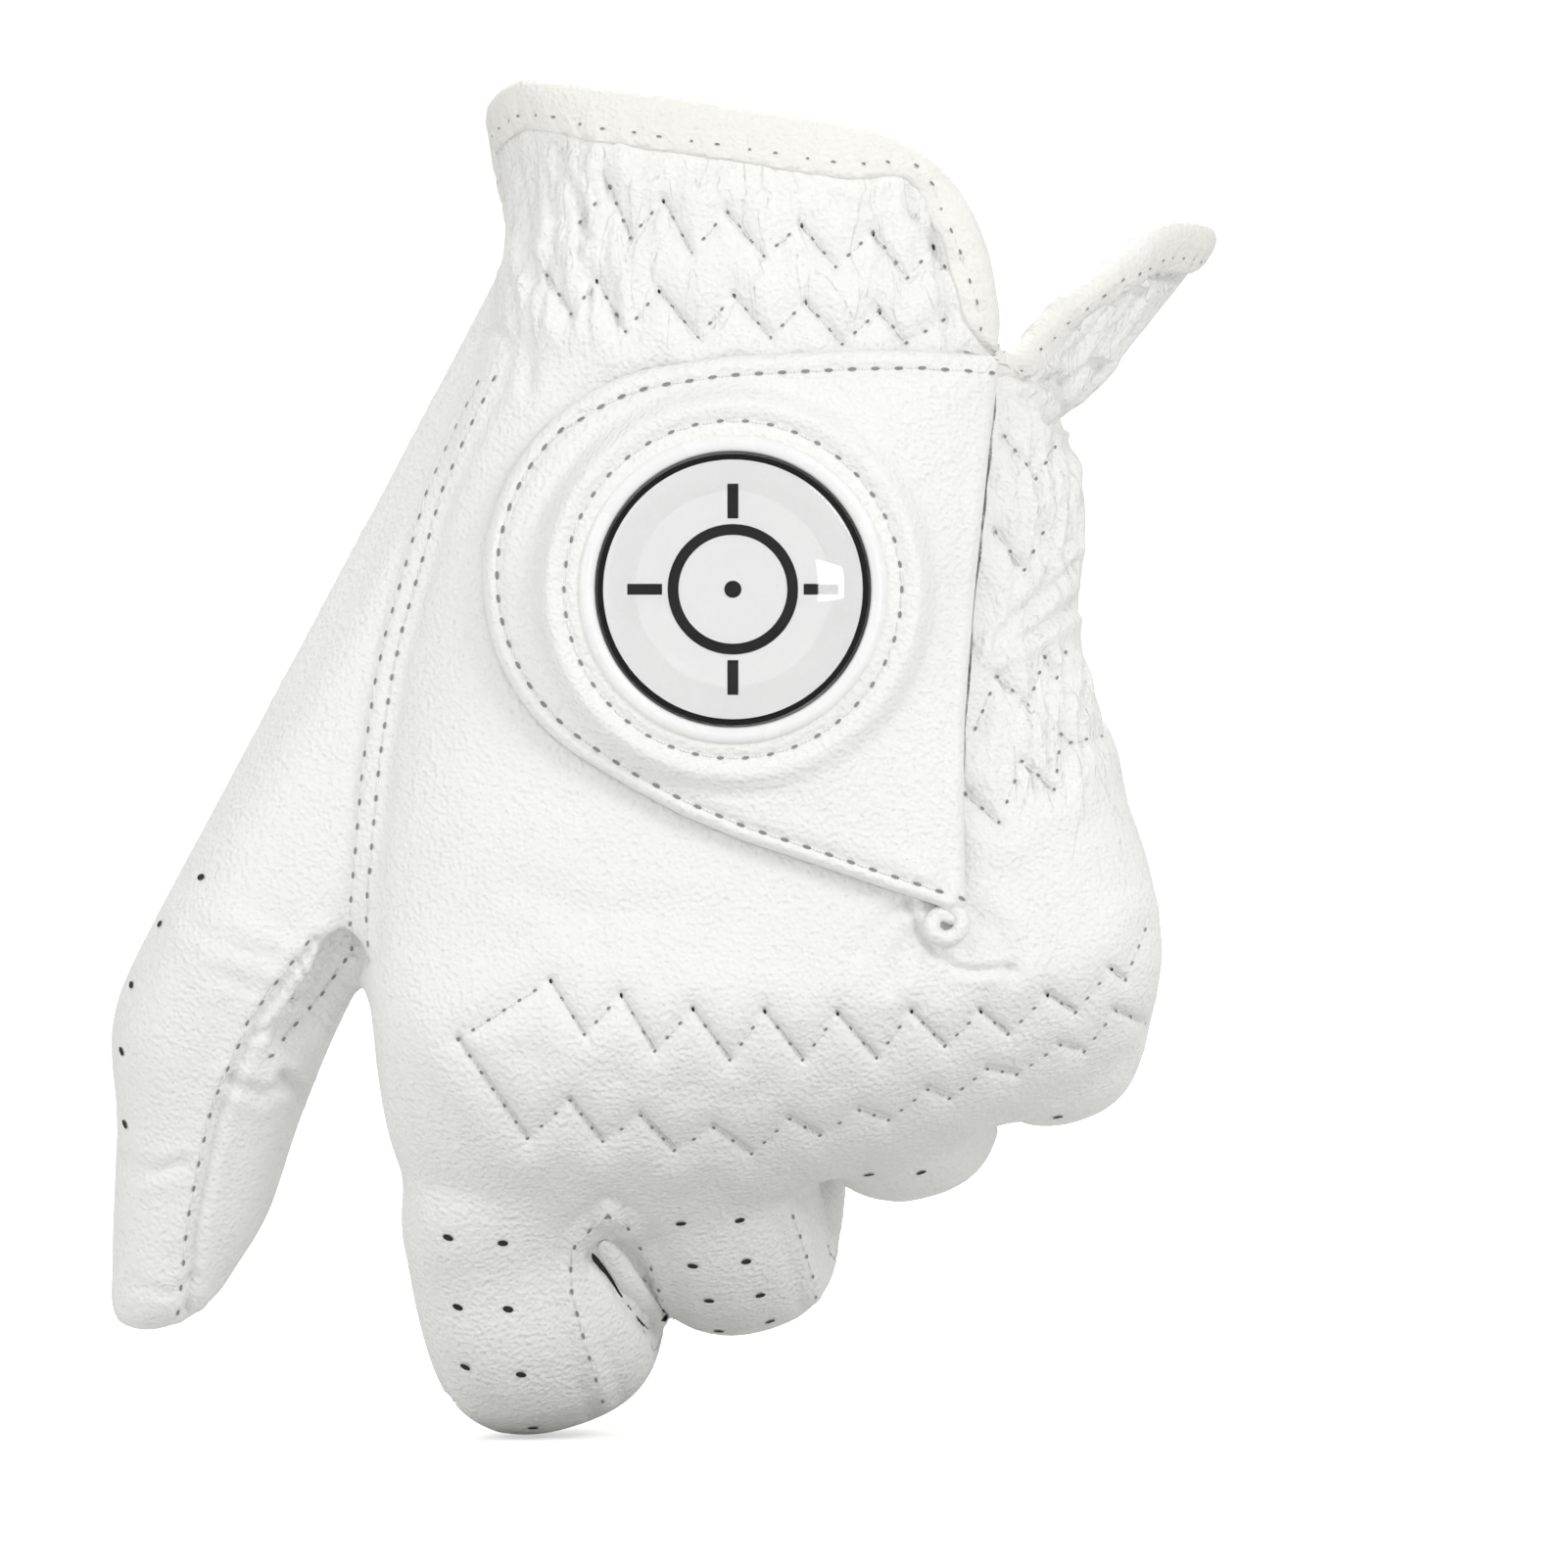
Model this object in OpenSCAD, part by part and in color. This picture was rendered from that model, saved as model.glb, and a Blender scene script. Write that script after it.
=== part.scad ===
// Left-hand golf glove, closed round a club handle, with a magnetic ball marker on its closure tab.
// Millimetres. Origin: centre of the wrist opening. +Z: along the forearm, out of the glove.
// +X: little-finger side. -Y: back of the hand.

/* [Hand] */
// Breadth of the hand across the knuckles
palm_breadth = 73.4; // [70:0.2:77]
// Thickness of the leather
leather_t = 0.9; // [0.7:0.1:1.2]
// Roundness of the hand's sections, 2 is an ellipse
section_power = 2.6; // [2.2:0.1:3]
// Gap between a finger's base and the hand
web_gap = 0.4; // [0.3:0.1:0.8]

/* [Fingers] */
// Half thickness of a finger at its middle joint
finger_half_t = 8.4; // [7.6:0.2:9]
// Half thickness of a finger at its tip
tip_half_t = 7.0; // [6:0.2:7.6]
// Half the angle that a side gusset covers round a finger
gusset_half_deg = 34; // [25:1:40]

/* [Closure tab] */
// Radius of the tab's round end
tab_end_r = 19.8; // [18:0.2:21]
// Radius that the tab is bent to, across the hand
tab_bend_r = 90; // [80:5:120]
// Thickness of the tab's leather
tab_t = 0.9; // [0.7:0.1:1.2]
// Thickness of the lining, the hook patch and the loop patch
patch_t = 0.6; // [0.5:0.1:0.8]

/* [Ball marker] */
// Diameter of the ball marker
marker_d = 25; // [24:0.5:26]
// Outer diameter of the plastic seat's rim
seat_d = 28.4; // [28:0.2:30]
// Outer diameter of the seat's flange, under the leather
flange_d = 36; // [34:0.5:37]

/* [Hidden] */
$fn = 96;

leather = "white";
trim = "whitesmoke";
size_k = palm_breadth / 73.4;
e = 2 / section_power;

// A section is [centre, half-width vector to the little-finger side, half-thickness vector to the palm].
function sized(sections) = [for (s = sections) [s[0] * size_k, s[1] * size_k, s[2] * size_k]];

// Back of the hand, from the cuff's edge to the webs of the fingers.
back_sections = sized([
    [[1.2, -0.5, 13.7], [24.8, 0, -2], [0, 19.5, 0]],
    [[1.7, -1.5, 3.4], [23.6, 0, -3], [0, 20.5, 0]],
    [[2.8, -2.5, -8], [25.5, 0, -3], [0, 21, 0]],
    [[0.9, -4.5, -20], [29.6, 0, -2], [0, 19.8, 0]],
    [[-0.6, -6, -33], [31.6, 0, -1], [0, 18.5, 0]],
    [[0, -9.3, -47], [34.4, 0, 0], [0, 15.5, 0]],
    [[0.9, -10.7, -57.5], [36.4, 0, 2], [0, 14.5, 1.5]],
    [[2, -11.5, -66.3], [36.7, 1, 3.5], [0, 13.5, 4]],
    [[2.5, -6.5, -74], [36, 1.8, 6], [0, 11, 6.3]],
    [[3.8, -0.3, -80], [34.3, 2.8, 9.5], [0, 6.2, 7]]
]);
// Palm: its cuff flares to the little-finger side, and the rest is the back's own sections.
palm_sections = concat(sized([
    [[9.1, 0.7, 8.6], [32.7, 1.2, -7], [0, 17, -14]],
    [[7, -0.5, 0], [29.4, 0.5, -6], [0, 18, -11]],
    [[2.9, -2.5, -9], [26.4, 0, -4], [0, 19.8, -7]]
]), [for (i = [3:9]) back_sections[i]]);
// Thumb, from its join with the hand to the middle of its tip.
thumb_sections = sized([
    [[-45.9, -2, -63.6], [9.2, 0, -3.2], [0, 10.6, 0.8]],
    [[-48.8, 0.5, -71.8], [10.5, 0, -1.5], [0, 9.8, 1.2]],
    [[-50.7, 3.4, -80.6], [8.6, 0, -0.3], [0, 8.4, 1.5]],
    [[-52.5, 5.4, -89.4], [7.3, 0, 0.5], [0, 7.2, 1.4]],
    [[-54.2, 6.8, -94.6], [5.6, 0, 1], [0, 6, 1.2]]
]);
web = back_sections[9];
web_side = web[1] / norm(web[1]);
web_out = cross(web[2], web[1]) / norm(cross(web[2], web[1]));

// Each finger: [centre and half width as shares of the web, middle joint, last joint, tip,
// half widths at the middle joint, last joint and tip].
index = [-0.75, 0.245, [-20, 8, -101.3], [-16.8, 32, -92], [-19, 35.5, -74], [9.5, 8.7, 8.4]];
middle = [-0.235, 0.258, [-0.6, 14, -93], [1.2, 32, -81], [-1.5, 35, -62], [8.6, 8.2, 8.0]];
ring = [0.285, 0.25, [16, 14, -81], [17, 31, -69], [13.5, 34.5, -51], [7.9, 7.7, 7.5]];
little = [0.77, 0.222, [31.2, 12.5, -72.6], [32.2, 28, -62], [29.5, 33, -47], [7.4, 7.0, 6.8]];

function spow(a, p) = sign(a) * pow(abs(a), p);
function ring_point(s, th, inset) = s[0]
    + s[1] * (1 - inset / norm(s[1])) * spow(cos(th), e)
    + s[2] * (1 - inset / norm(s[2])) * spow(sin(th), e);
function spline(a, b, c, d, t) = 0.5 * (2 * b + (c - a) * t
    + (2 * a - 5 * b + 4 * c - d) * t * t + (3 * b - a - 3 * c + d) * t * t * t);
function along(list, v) = let (n = len(list) - 1, i = min(floor(v), n - 1), t = v - i)
    spline(list[max(i - 1, 0)], list[i], list[i + 1], list[min(i + 2, n)], t);
function section_at(sections, v) = [for (c = [0:2]) along([for (s = sections) s[c]], v)];
function lookup_at(list, v) = along(list, v);

// Rows of a sheet: [place along the sections, first angle, last angle].
// Angles: 0 is the little-finger side, 90 the palm, 180 the thumb side and 270 the back.
function rows(v0, v1, n, first, last) = [for (i = [0:n]) let (v = v0 + (v1 - v0) * i / n)
    [v, is_list(first) ? lookup_at(first, v) : first, is_list(last) ? lookup_at(last, v) : last]];
function grid(sections, rows, cols, inset) = [for (r = rows) let (s = section_at(sections, r[0]))
    [for (j = [0:cols]) ring_point(s, r[1] + (r[2] - r[1]) * j / cols, inset)]];
function flat(rows) = [for (r = rows) each r];

// A sheet of leather between two grids of points, closed all round its edge.
module sheet_between(outer, inner) {
    n = len(outer);
    m = len(outer[0]);
    far = n * m;
    quads = concat(
        [for (i = [0:n - 2], j = [0:m - 2]) [i * m + j, i * m + j + 1, (i + 1) * m + j + 1, (i + 1) * m + j]],
        [for (i = [0:n - 2], j = [0:m - 2])
            [far + (i + 1) * m + j, far + (i + 1) * m + j + 1, far + i * m + j + 1, far + i * m + j]],
        [for (j = [0:m - 2]) [j + 1, j, far + j, far + j + 1]],
        [for (j = [0:m - 2]) let (b = (n - 1) * m + j) [b, b + 1, far + b + 1, far + b]],
        [for (i = [0:n - 2]) [i * m, (i + 1) * m, far + (i + 1) * m, far + i * m]],
        [for (i = [0:n - 2]) let (b = i * m + m - 1) [b + m, b, far + b, far + b + m]]
    );
    triangles = [for (q = quads) each [[q[0], q[1], q[2]], [q[0], q[2], q[3]]]];
    polyhedron(points = concat(flat(outer), flat(inner)), faces = triangles, convexity = 6);
}

module sheet(sections, rows, cols, from, to) {
    sheet_between(grid(sections, rows, cols, from), grid(sections, rows, cols, to));
}

// Where the panels meet the slit under the closure tab, for each section, and the thumb's opening.
slit_back = [299, 317, 314, 299, 299, 296, 293.5, 294, 296, 298];
slit_palm = [-5, -28, -42, -57, -58, -61.5, -64.5, -65.5, -63.5, -61.5];
binding_back = [291, 309, 306, 291, 291, 288, 285.5, 286, 288, 290];
binding_palm = [0, -23, -37, -52, -52.5, -56, -59, -60, -58, -56];
thumb_hole_back = [180.3, 180.3, 189, 198, 202, 202, 193, 180.3, 180.3, 180.3];
thumb_hole_palm = [179.7, 179.7, 166, 150, 144, 144, 160, 179.7, 179.7, 179.7];
hole_top = 1.4;
hole_low = 7;
cuff_edge = 0.38;
slit_end = 6.4;

// The back and palm panels meet along the thumb side, just short of 180.
side_seam = 0.4;
module back_panel() color(leather) {
    upper = rows(cuff_edge + 0.01, slit_end, 16, thumb_hole_back, [for (a = binding_back) a - 1]);
    lower = rows(slit_end + 0.02, 9, 7, thumb_hole_back, slit_back);
    sheet(back_sections, [for (r = concat(upper, lower)) [r[0], max(r[1], 180 + side_seam), r[2]]],
        18, 0, leather_t);
}
module palm_panel() color(leather) {
    upper = rows(cuff_edge + 0.01, slit_end, 16, [for (a = binding_palm) a + 1], thumb_hole_palm);
    lower = rows(slit_end + 0.02, 9, 7, slit_palm, thumb_hole_palm);
    sheet(palm_sections, [for (r = concat(upper, lower)) [r[0], r[1], min(r[2], 180 - side_seam)]],
        24, 0, leather_t);
}
// The skin round the base of the thumb runs from the edge of the hand's opening to the thumb's first section.
// Round the thumb, a turn of 180 to 360 is its back edge and 360 to 540 its palm edge.
function hole_point(turn, inset) = let (
        share = turn <= 360 ? (turn - 180) / 180 : (540 - turn) / 180,
        v = hole_top + (hole_low - hole_top) * share)
    turn <= 360 ? ring_point(section_at(back_sections, v), lookup_at(thumb_hole_back, v) - 0.5, inset)
        : ring_point(section_at(palm_sections, v), lookup_at(thumb_hole_palm, v) + 0.5, inset);
function thumb_skin(first, last, inset) = [for (i = [0:8]) let (u = i / 8)
    [for (j = [0:24]) let (turn = first + (last - first) * j / 24)
        hole_point(turn, inset) * (1 - u) + ring_point(thumb_sections[0], turn, inset) * u
            + [0, 12 * u * (1 - u) * max(0, sin(turn)), 0]]];
module thumb_base_panel() color(leather)
    sheet_between(thumb_skin(183, 537, 0), thumb_skin(183, 537, leather_t));

module cuff_binding_back() color(trim)
    sheet(back_sections, rows(0, cuff_edge, 2, 180.3, [for (a = slit_back) a]), 18, -0.5, leather_t + 0.5);
module cuff_binding_palm() color(trim)
    sheet(palm_sections, rows(0, cuff_edge, 2, slit_palm, 179.7), 24, -0.5, leather_t + 0.5);
module slit_binding_back() color(trim)
    sheet(back_sections, rows(cuff_edge + 0.02, slit_end, 14, binding_back, slit_back), 2, -0.4, leather_t + 0.4);
module slit_binding_palm() color(trim)
    sheet(palm_sections, rows(cuff_edge + 0.02, slit_end, 14, slit_palm, binding_palm), 2, -0.4, leather_t + 0.4);

// Elastic bands, sewn inside the leather.
elastic_t = 0.8;
elastic_gap = 0.15;
module elastic(sections, rows, cols) color(trim)
    sheet(sections, rows, cols, leather_t + elastic_gap, leather_t + elastic_gap + elastic_t);
module wrist_elastic() elastic(back_sections, rows(0.95, 2.0, 4, 194, 302), 14);
module heel_elastic() elastic(palm_sections, rows(2.7, 5.2, 8, -34, 2), 6);
module knuckle_elastic() elastic(back_sections, rows(7.35, 8.3, 4, 192, 292), 16);

// The loop patch lies on the back panel, under the tab.
module loop_patch() color(trim)
    sheet(back_sections, rows(2.6, 4.5, 7, 248, 288), 8, -0.1 - patch_t, -0.1);

// The rolled fold that ends the slit.
loop_at = [18.4, -26, -63.4] * size_k;
module slit_end_loop() color(trim)
    translate(loop_at) rotate([90, 0, 6]) scale([0.85, 1.15, 1]) rotate_extrude() translate([1.75, 0]) circle(r = 0.85);

// The closure tab: layers bent to a cylinder whose axis is parallel to the tab's sewn side.
tab_end_at = [-4.5, -29.5] * size_k;
tab_top_corner = [23.6, -9.2] * size_k;
tab_low_corner = [20.3, -60] * size_k;
tab_low_bend = [-5, -51.5] * size_k;
marker_at = [-1.1, -30.7] * size_k;
tab_lean = atan((tab_top_corner[0] - tab_low_corner[0]) / (tab_top_corner[1] - tab_low_corner[1]));
tab_tilt = -0.6;
tab_mid = [3 * size_k, -27 * size_k, -34.6 * size_k];

function curve(a, b, c, n) = [for (i = [0:n]) let (t = i / n)
    a * (1 - t) * (1 - t) + b * 2 * t * (1 - t) + c * t * t];
function tab_outline(shrink) = concat(
    [tab_low_corner + [-shrink, shrink * 1.3], tab_top_corner - [shrink, shrink]],
    [for (a = [88:8:232]) tab_end_at + (tab_end_r * size_k - shrink) * [cos(a), sin(a)]],
    [for (p = curve(tab_end_at + (tab_end_r * size_k - shrink) * [cos(238), sin(238)],
        tab_low_bend + [0, shrink], tab_low_corner + [-shrink, shrink * 1.3], 6)) p]);

// What of a shape lies between two levels above the tab's underside.
module tab_layer(low, high) {
    intersection() {
        rotate([90, 0, 0]) linear_extrude(60) children();
        translate(tab_mid + [0, tab_bend_r, 0]) rotate([tab_tilt, tab_lean, 0])
            difference() {
                cylinder(r = tab_bend_r + high, h = 120, center = true);
                cylinder(r = tab_bend_r + low, h = 121, center = true);
            }
    }
}
module at_marker() translate([marker_at[0], 0, marker_at[1]]) rotate([90, 0, 0]) children();
module tab_blank(shrink) polygon([for (i = [0:len(tab_outline(shrink)) - 2]) tab_outline(shrink)[i]]);
module marker_hole(d) translate(marker_at) circle(d = d);

lining_top = patch_t;
leather_top = patch_t + tab_t;
fit = 0.1;
module tab_lining() color(trim)
    tab_layer(0, lining_top) difference() { tab_blank(0.6); marker_hole(flange_d + 2 * fit); }
module tab_leather() color(leather)
    tab_layer(lining_top, leather_top) difference() { tab_blank(0); marker_hole(seat_d + 2 * fit); }
module hook_patch() color("gainsboro")
    tab_layer(-patch_t, -0.02) difference() {
        intersection() {
            tab_blank(3);
            translate(marker_at) square([38, 24], center = true);
        }
        marker_hole(seat_d + 2 * fit);
    }
// The rolled edge of the leather, all round the tab but its sewn side.
module tab_hem() color(leather)
    tab_layer(leather_top + 0.02, leather_top + 0.5) difference() { tab_blank(0.2); tab_blank(1.5); }

// Levels along -Y of the seat, in the frame of at_marker().
seat_floor_y = 27.2 * size_k;
seat_rim_y = seat_floor_y + 2.7;
magnet_t = 0.9;
marker_t = 1.1;
module marker_seat() color("white") {
    at_marker() difference() {
        translate([0, 0, seat_floor_y - 1.1]) cylinder(d = seat_d, h = seat_rim_y - seat_floor_y + 1.1);
        translate([0, 0, seat_floor_y + 0.4]) cylinder(d = marker_d + 4 * fit, h = 10);
        translate([0, 0, seat_floor_y - 2]) cylinder(d = 23, h = 2);
    }
}
// The curved flange that holds the seat, between the leather and the lining.
module seat_flange() color("white") tab_layer(0.05, lining_top - 0.05)
    difference() { marker_hole(flange_d); marker_hole(seat_d + fit); }
module seat_magnet() color("silver") at_marker()
    translate([0, 0, seat_floor_y + 0.4]) cylinder(d = 20, h = magnet_t);
marker_low_y = seat_floor_y + 0.4 + magnet_t + fit;
module marker_disc() color("black") at_marker()
    translate([0, 0, marker_low_y]) cylinder(d = marker_d, h = marker_t);
// A plain cross-hair for lining up a putt, set into the marker's face.
module crosshair() {
    difference() { circle(d = 12); circle(d = 10); }
    for (a = [0:90:270]) rotate(a) translate([6.5, -0.5]) square([3.2, 1]);
    circle(d = 1.6);
}
module marker_emblem() color("black") at_marker()
    translate([0, 0, marker_low_y + marker_t]) linear_extrude(0.15) crosshair();
module marker_face() color("gainsboro") at_marker()
    translate([0, 0, marker_low_y + marker_t]) linear_extrude(0.15) difference() {
        circle(d = marker_d - 1.4);
        crosshair();
    }
module marker_dome() color("white", 0.4) at_marker() {
    sag = 0.8;
    base = marker_d / 2 - 0.7;
    r = (base * base + sag * sag) / (2 * sag);
    arc = [for (i = [0:8]) let (a = asin(base / r) * i / 8) [r * sin(a), r * cos(a) - r + sag]];
    translate([0, 0, marker_low_y + marker_t + 0.15]) rotate_extrude() polygon(concat([[0, 0]], arc));
}

// A finger's sections, from the web to a rounded tip.
tip_caps = [0, 25, 48, 68, 84];
function unit(v) = v / norm(v);
function finger_sections(f) = let (
        base = web[0] + web[1] * f[0] + web_out * web_gap,
        line = [base, f[2] * size_k, f[3] * size_k, f[4] * size_k],
        w0 = norm(web[1]) * f[1],
        widths = [w0, f[5][0], f[5][1], f[5][2]],
        thick = [norm(web[2]) - 0.2, finger_half_t, (finger_half_t + tip_half_t) / 2, tip_half_t],
        stations = [for (v = [0.25:0.25:3]) let (
            run = unit(along(line, v + 0.02) - along(line, v - 0.02)),
            t = v < 1 ? unit(web_out * (1 - v) + run * v) : run,
            a = unit(web_side - (web_side * t) * t))
            [along(line, v), a * along(widths, v), unit(cross(a, t)) * along(thick, v), t]],
        last = stations[len(stations) - 1])
    concat([[base, web[1] * f[1], web[2] * (1 - 0.2 / norm(web[2]))]],
        [for (i = [0:len(stations) - 2]) [stations[i][0], stations[i][1], stations[i][2]]],
        [for (c = tip_caps) [last[0] + last[3] * tip_half_t * sin(c), last[1] * cos(c), last[2] * cos(c)]]);
finger_rows = 16;
module finger_part(f, first, last, cols) {
    s = finger_sections(f);
    r = [for (i = [0:finger_rows]) [i, first, last]];
    outer = [for (i = [0:finger_rows]) [for (j = [0:cols])
        ring_point(s[i], first + (last - first) * j / cols, 0)]];
    inner = [for (i = [0:finger_rows]) [for (j = [0:cols])
        let (p = ring_point(s[i], first + (last - first) * j / cols, min(leather_t, 0.45 * norm(s[i][2]))))
            i < finger_rows - 3 ? p : p - (s[finger_rows][0] - s[finger_rows - 4][0]) / tip_half_t * leather_t]];
    sheet_between(outer, inner);
}
seam_deg = 0.4;
g = gusset_half_deg;
module index_back_leather() color(leather) finger_part(index, 180 + seam_deg, 360 - g - seam_deg, 12);
module index_palm_leather() color(leather) finger_part(index, g + seam_deg, 180 - seam_deg, 12);
module index_gusset() color(trim) finger_part(index, -g, g, 4);
module middle_back_leather() color(leather) finger_part(middle, 180 + g + seam_deg, 360 - g - seam_deg, 10);
module middle_palm_leather() color(leather) finger_part(middle, g + seam_deg, 180 - g - seam_deg, 10);
module middle_gussets() color(trim) { finger_part(middle, -g, g, 4); finger_part(middle, 180 - g, 180 + g, 4); }
module ring_back_leather() color(leather) finger_part(ring, 180 + g + seam_deg, 360 - g - seam_deg, 10);
module ring_palm_leather() color(leather) finger_part(ring, g + seam_deg, 180 - g - seam_deg, 10);
module ring_gussets() color(trim) { finger_part(ring, -g, g, 4); finger_part(ring, 180 - g, 180 + g, 4); }
module little_back_leather() color(leather) finger_part(little, 180 + g + seam_deg, 360 - seam_deg, 12);
module little_palm_leather() color(leather) finger_part(little, seam_deg, 180 - g - seam_deg, 12);
module little_gusset() color(trim) finger_part(little, 180 - g, 180 + g, 4);

// The thumb, from its join with the hand to its rounded tip.
thumb_gap = 0.05;
thumb_tip = thumb_sections[4];
thumb_dir = unit([-0.35, 0.2, -0.92]);
thumb_cap = 4.8 * size_k;
free_thumb = concat([for (v = [thumb_gap, 0.35, 0.7, 1, 1.02, 1.35, 1.7, 2, 2.35, 2.7, 3, 3.4, 3.7, 4])
        section_at(thumb_sections, v)],
    [for (c = [25, 48, 68, 84])
        [thumb_tip[0] + thumb_dir * thumb_cap * sin(c), thumb_tip[1] * cos(c), thumb_tip[2] * cos(c)]]);
function thumb_grid(n0, n1, first, last, cols, inset) = [for (i = [n0:n1]) let (s = free_thumb[i])
    [for (j = [0:cols]) ring_point(s, first + (last - first) * j / cols, min(inset, 0.45 * norm(s[2])))
        - (inset > 0 && i > len(free_thumb) - 5 ? thumb_dir * inset : [0, 0, 0])]];
module thumb_piece(n0, n1, first, last, cols)
    sheet_between(thumb_grid(n0, n1, first, last, cols, 0), thumb_grid(n0, n1, first, last, cols, leather_t));
thumb_rows = len(free_thumb) - 1;
thumb_seam = 302;
module thumb_outer_leather() color(leather) thumb_piece(0, thumb_rows, 95 + seam_deg, thumb_seam - seam_deg, 14);
module thumb_inner_leather() color(leather) {
    thumb_piece(0, thumb_rows, 30 + seam_deg, 95 - seam_deg, 6);
    thumb_piece(4, thumb_rows, thumb_seam - 360 + seam_deg, 30 - seam_deg, 8);
}
// The small gusset between the thumb and the hand.
module thumb_quirk() color(leather) thumb_piece(0, 3, thumb_seam - 360 + seam_deg, 30 - seam_deg, 8);

back_panel();
palm_panel();
thumb_base_panel();
cuff_binding_back();
cuff_binding_palm();
slit_binding_back();
slit_binding_palm();
slit_end_loop();
wrist_elastic();
heel_elastic();
knuckle_elastic();
loop_patch();
tab_leather();
tab_lining();
hook_patch();
tab_hem();
marker_seat();
seat_flange();
seat_magnet();
marker_disc();
marker_face();
marker_emblem();
marker_dome();
thumb_outer_leather();
thumb_inner_leather();
thumb_quirk();
index_back_leather();
index_palm_leather();
index_gusset();
middle_back_leather();
middle_palm_leather();
middle_gussets();
ring_back_leather();
ring_palm_leather();
ring_gussets();
little_back_leather();
little_palm_leather();
little_gusset();
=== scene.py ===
# Visual model of a left-hand golf glove over its CAD frame, built in millimetres and stored in metres.
import math
from contextlib import contextmanager

import bmesh
import bpy
import numpy as np
from mathutils import Matrix, Vector
from mathutils.bvhtree import BVHTree


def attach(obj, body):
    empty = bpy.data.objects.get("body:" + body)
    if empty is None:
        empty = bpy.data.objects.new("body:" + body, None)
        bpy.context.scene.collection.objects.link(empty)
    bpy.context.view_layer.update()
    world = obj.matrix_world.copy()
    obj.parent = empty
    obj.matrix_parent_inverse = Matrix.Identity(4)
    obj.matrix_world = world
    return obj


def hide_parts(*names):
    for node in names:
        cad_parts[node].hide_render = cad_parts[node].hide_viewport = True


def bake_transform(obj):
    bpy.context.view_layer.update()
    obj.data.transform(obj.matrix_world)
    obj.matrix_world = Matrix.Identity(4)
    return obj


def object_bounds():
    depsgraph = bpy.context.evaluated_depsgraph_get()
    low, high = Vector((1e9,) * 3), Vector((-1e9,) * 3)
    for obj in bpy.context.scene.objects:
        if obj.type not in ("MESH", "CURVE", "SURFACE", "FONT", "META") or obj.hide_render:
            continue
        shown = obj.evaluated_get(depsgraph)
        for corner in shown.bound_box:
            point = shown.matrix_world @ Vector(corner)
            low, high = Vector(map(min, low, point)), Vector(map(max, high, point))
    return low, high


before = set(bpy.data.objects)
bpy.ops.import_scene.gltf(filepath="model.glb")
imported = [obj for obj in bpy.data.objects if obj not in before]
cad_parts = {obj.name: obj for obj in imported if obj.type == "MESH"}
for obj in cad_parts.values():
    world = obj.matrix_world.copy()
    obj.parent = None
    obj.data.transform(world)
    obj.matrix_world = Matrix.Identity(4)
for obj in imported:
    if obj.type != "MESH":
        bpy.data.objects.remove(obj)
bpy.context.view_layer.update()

# Roundness of the sections of the hand, the fingers and the thumb; 2 is an ellipse.
POWER, FINGER_POWER, THUMB_POWER = 2.6, 2.35, 2.3
LEATHER = 0.9
VIEW_DISTANCE = 900.0
FRAME_WIDTH = 0.1443
VOXEL = 0.95
SMOOTHING_LOSS = 0.4
MARKER = np.array([-1.1, -29.3, -30.7])
LOOK_AT = np.array([3.6, -29.0, -48.6])


# ---------------------------------------------------------------- helpers
def unit(v):
    v = np.asarray(v, float)
    return v / max(np.linalg.norm(v), 1e-9)


def smooth(t):
    t = np.clip(t, 0, 1)
    return t * t * (3 - 2 * t)


def bell(d, width):
    return np.exp(-((d / width) ** 2))


def spline(points, v):
    """Catmull-Rom through points at the place v, 0 to len - 1."""
    p = [np.asarray(q, float) for q in points]
    n = len(p) - 1
    i = int(min(max(math.floor(v), 0), n - 1))
    t = v - i
    a, b, c, d = p[max(i - 1, 0)], p[i], p[i + 1], p[min(i + 2, n)]
    return 0.5 * (2 * b + (c - a) * t + (2 * a - 5 * b + 4 * c - d) * t * t + (3 * b - a - 3 * c + d) * t**3)


def section_at(sections, v):
    return [spline([s[k] for s in sections], v) for k in range(3)]


def ring(section, angles, power=POWER):
    c, w, t = section
    co, si = np.cos(angles), np.sin(angles)
    e = 2 / power
    a = np.sign(co) * np.abs(co) ** e
    b = np.sign(si) * np.abs(si) ** e
    return c + a[:, None] * w + b[:, None] * t


def mesh_object(name, verts, faces):
    mesh = bpy.data.meshes.new(name)
    mesh.from_pydata([tuple(map(float, v)) for v in verts], [], [tuple(map(int, f)) for f in faces])
    mesh.validate()
    obj = bpy.data.objects.new(name, mesh)
    bpy.context.scene.collection.objects.link(obj)
    return obj


@contextmanager
def edited(obj):
    """The object's mesh as a bmesh, written back at the end."""
    bm = bmesh.new()
    bm.from_mesh(obj.data)
    yield bm
    bm.to_mesh(obj.data)
    bm.free()


def outward(obj):
    with edited(obj) as bm:
        bmesh.ops.recalc_face_normals(bm, faces=bm.faces)
    return obj


def grid_faces(rows, across, ring_rows=False, ring_across=False):
    """Faces of a grid of points in rows; a ring joins its last row, or column, to the first."""
    faces = []
    for i in range(rows if ring_rows else rows - 1):
        for j in range(across if ring_across else across - 1):
            below, beside = (i + 1) % rows, (j + 1) % across
            faces.append((i * across + j, i * across + beside, below * across + beside, below * across + j))
    return faces


def loft(name, rings):
    """A closed solid through closed rings of equal length."""
    n, m = len(rings), len(rings[0])
    verts = [p for r in rings for p in r]
    faces = grid_faces(n, m, ring_across=True)
    for row in (0, n - 1):
        verts.append(np.mean(rings[row], axis=0))
        faces += [(row * m + j, row * m + (j + 1) % m, len(verts) - 1) for j in range(m)]
    return outward(mesh_object(name, verts, faces))


def add_modifier(obj, kind, **settings):
    m = obj.modifiers.new(kind.lower(), kind)
    for key, value in settings.items():
        setattr(m, key, value)


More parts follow.
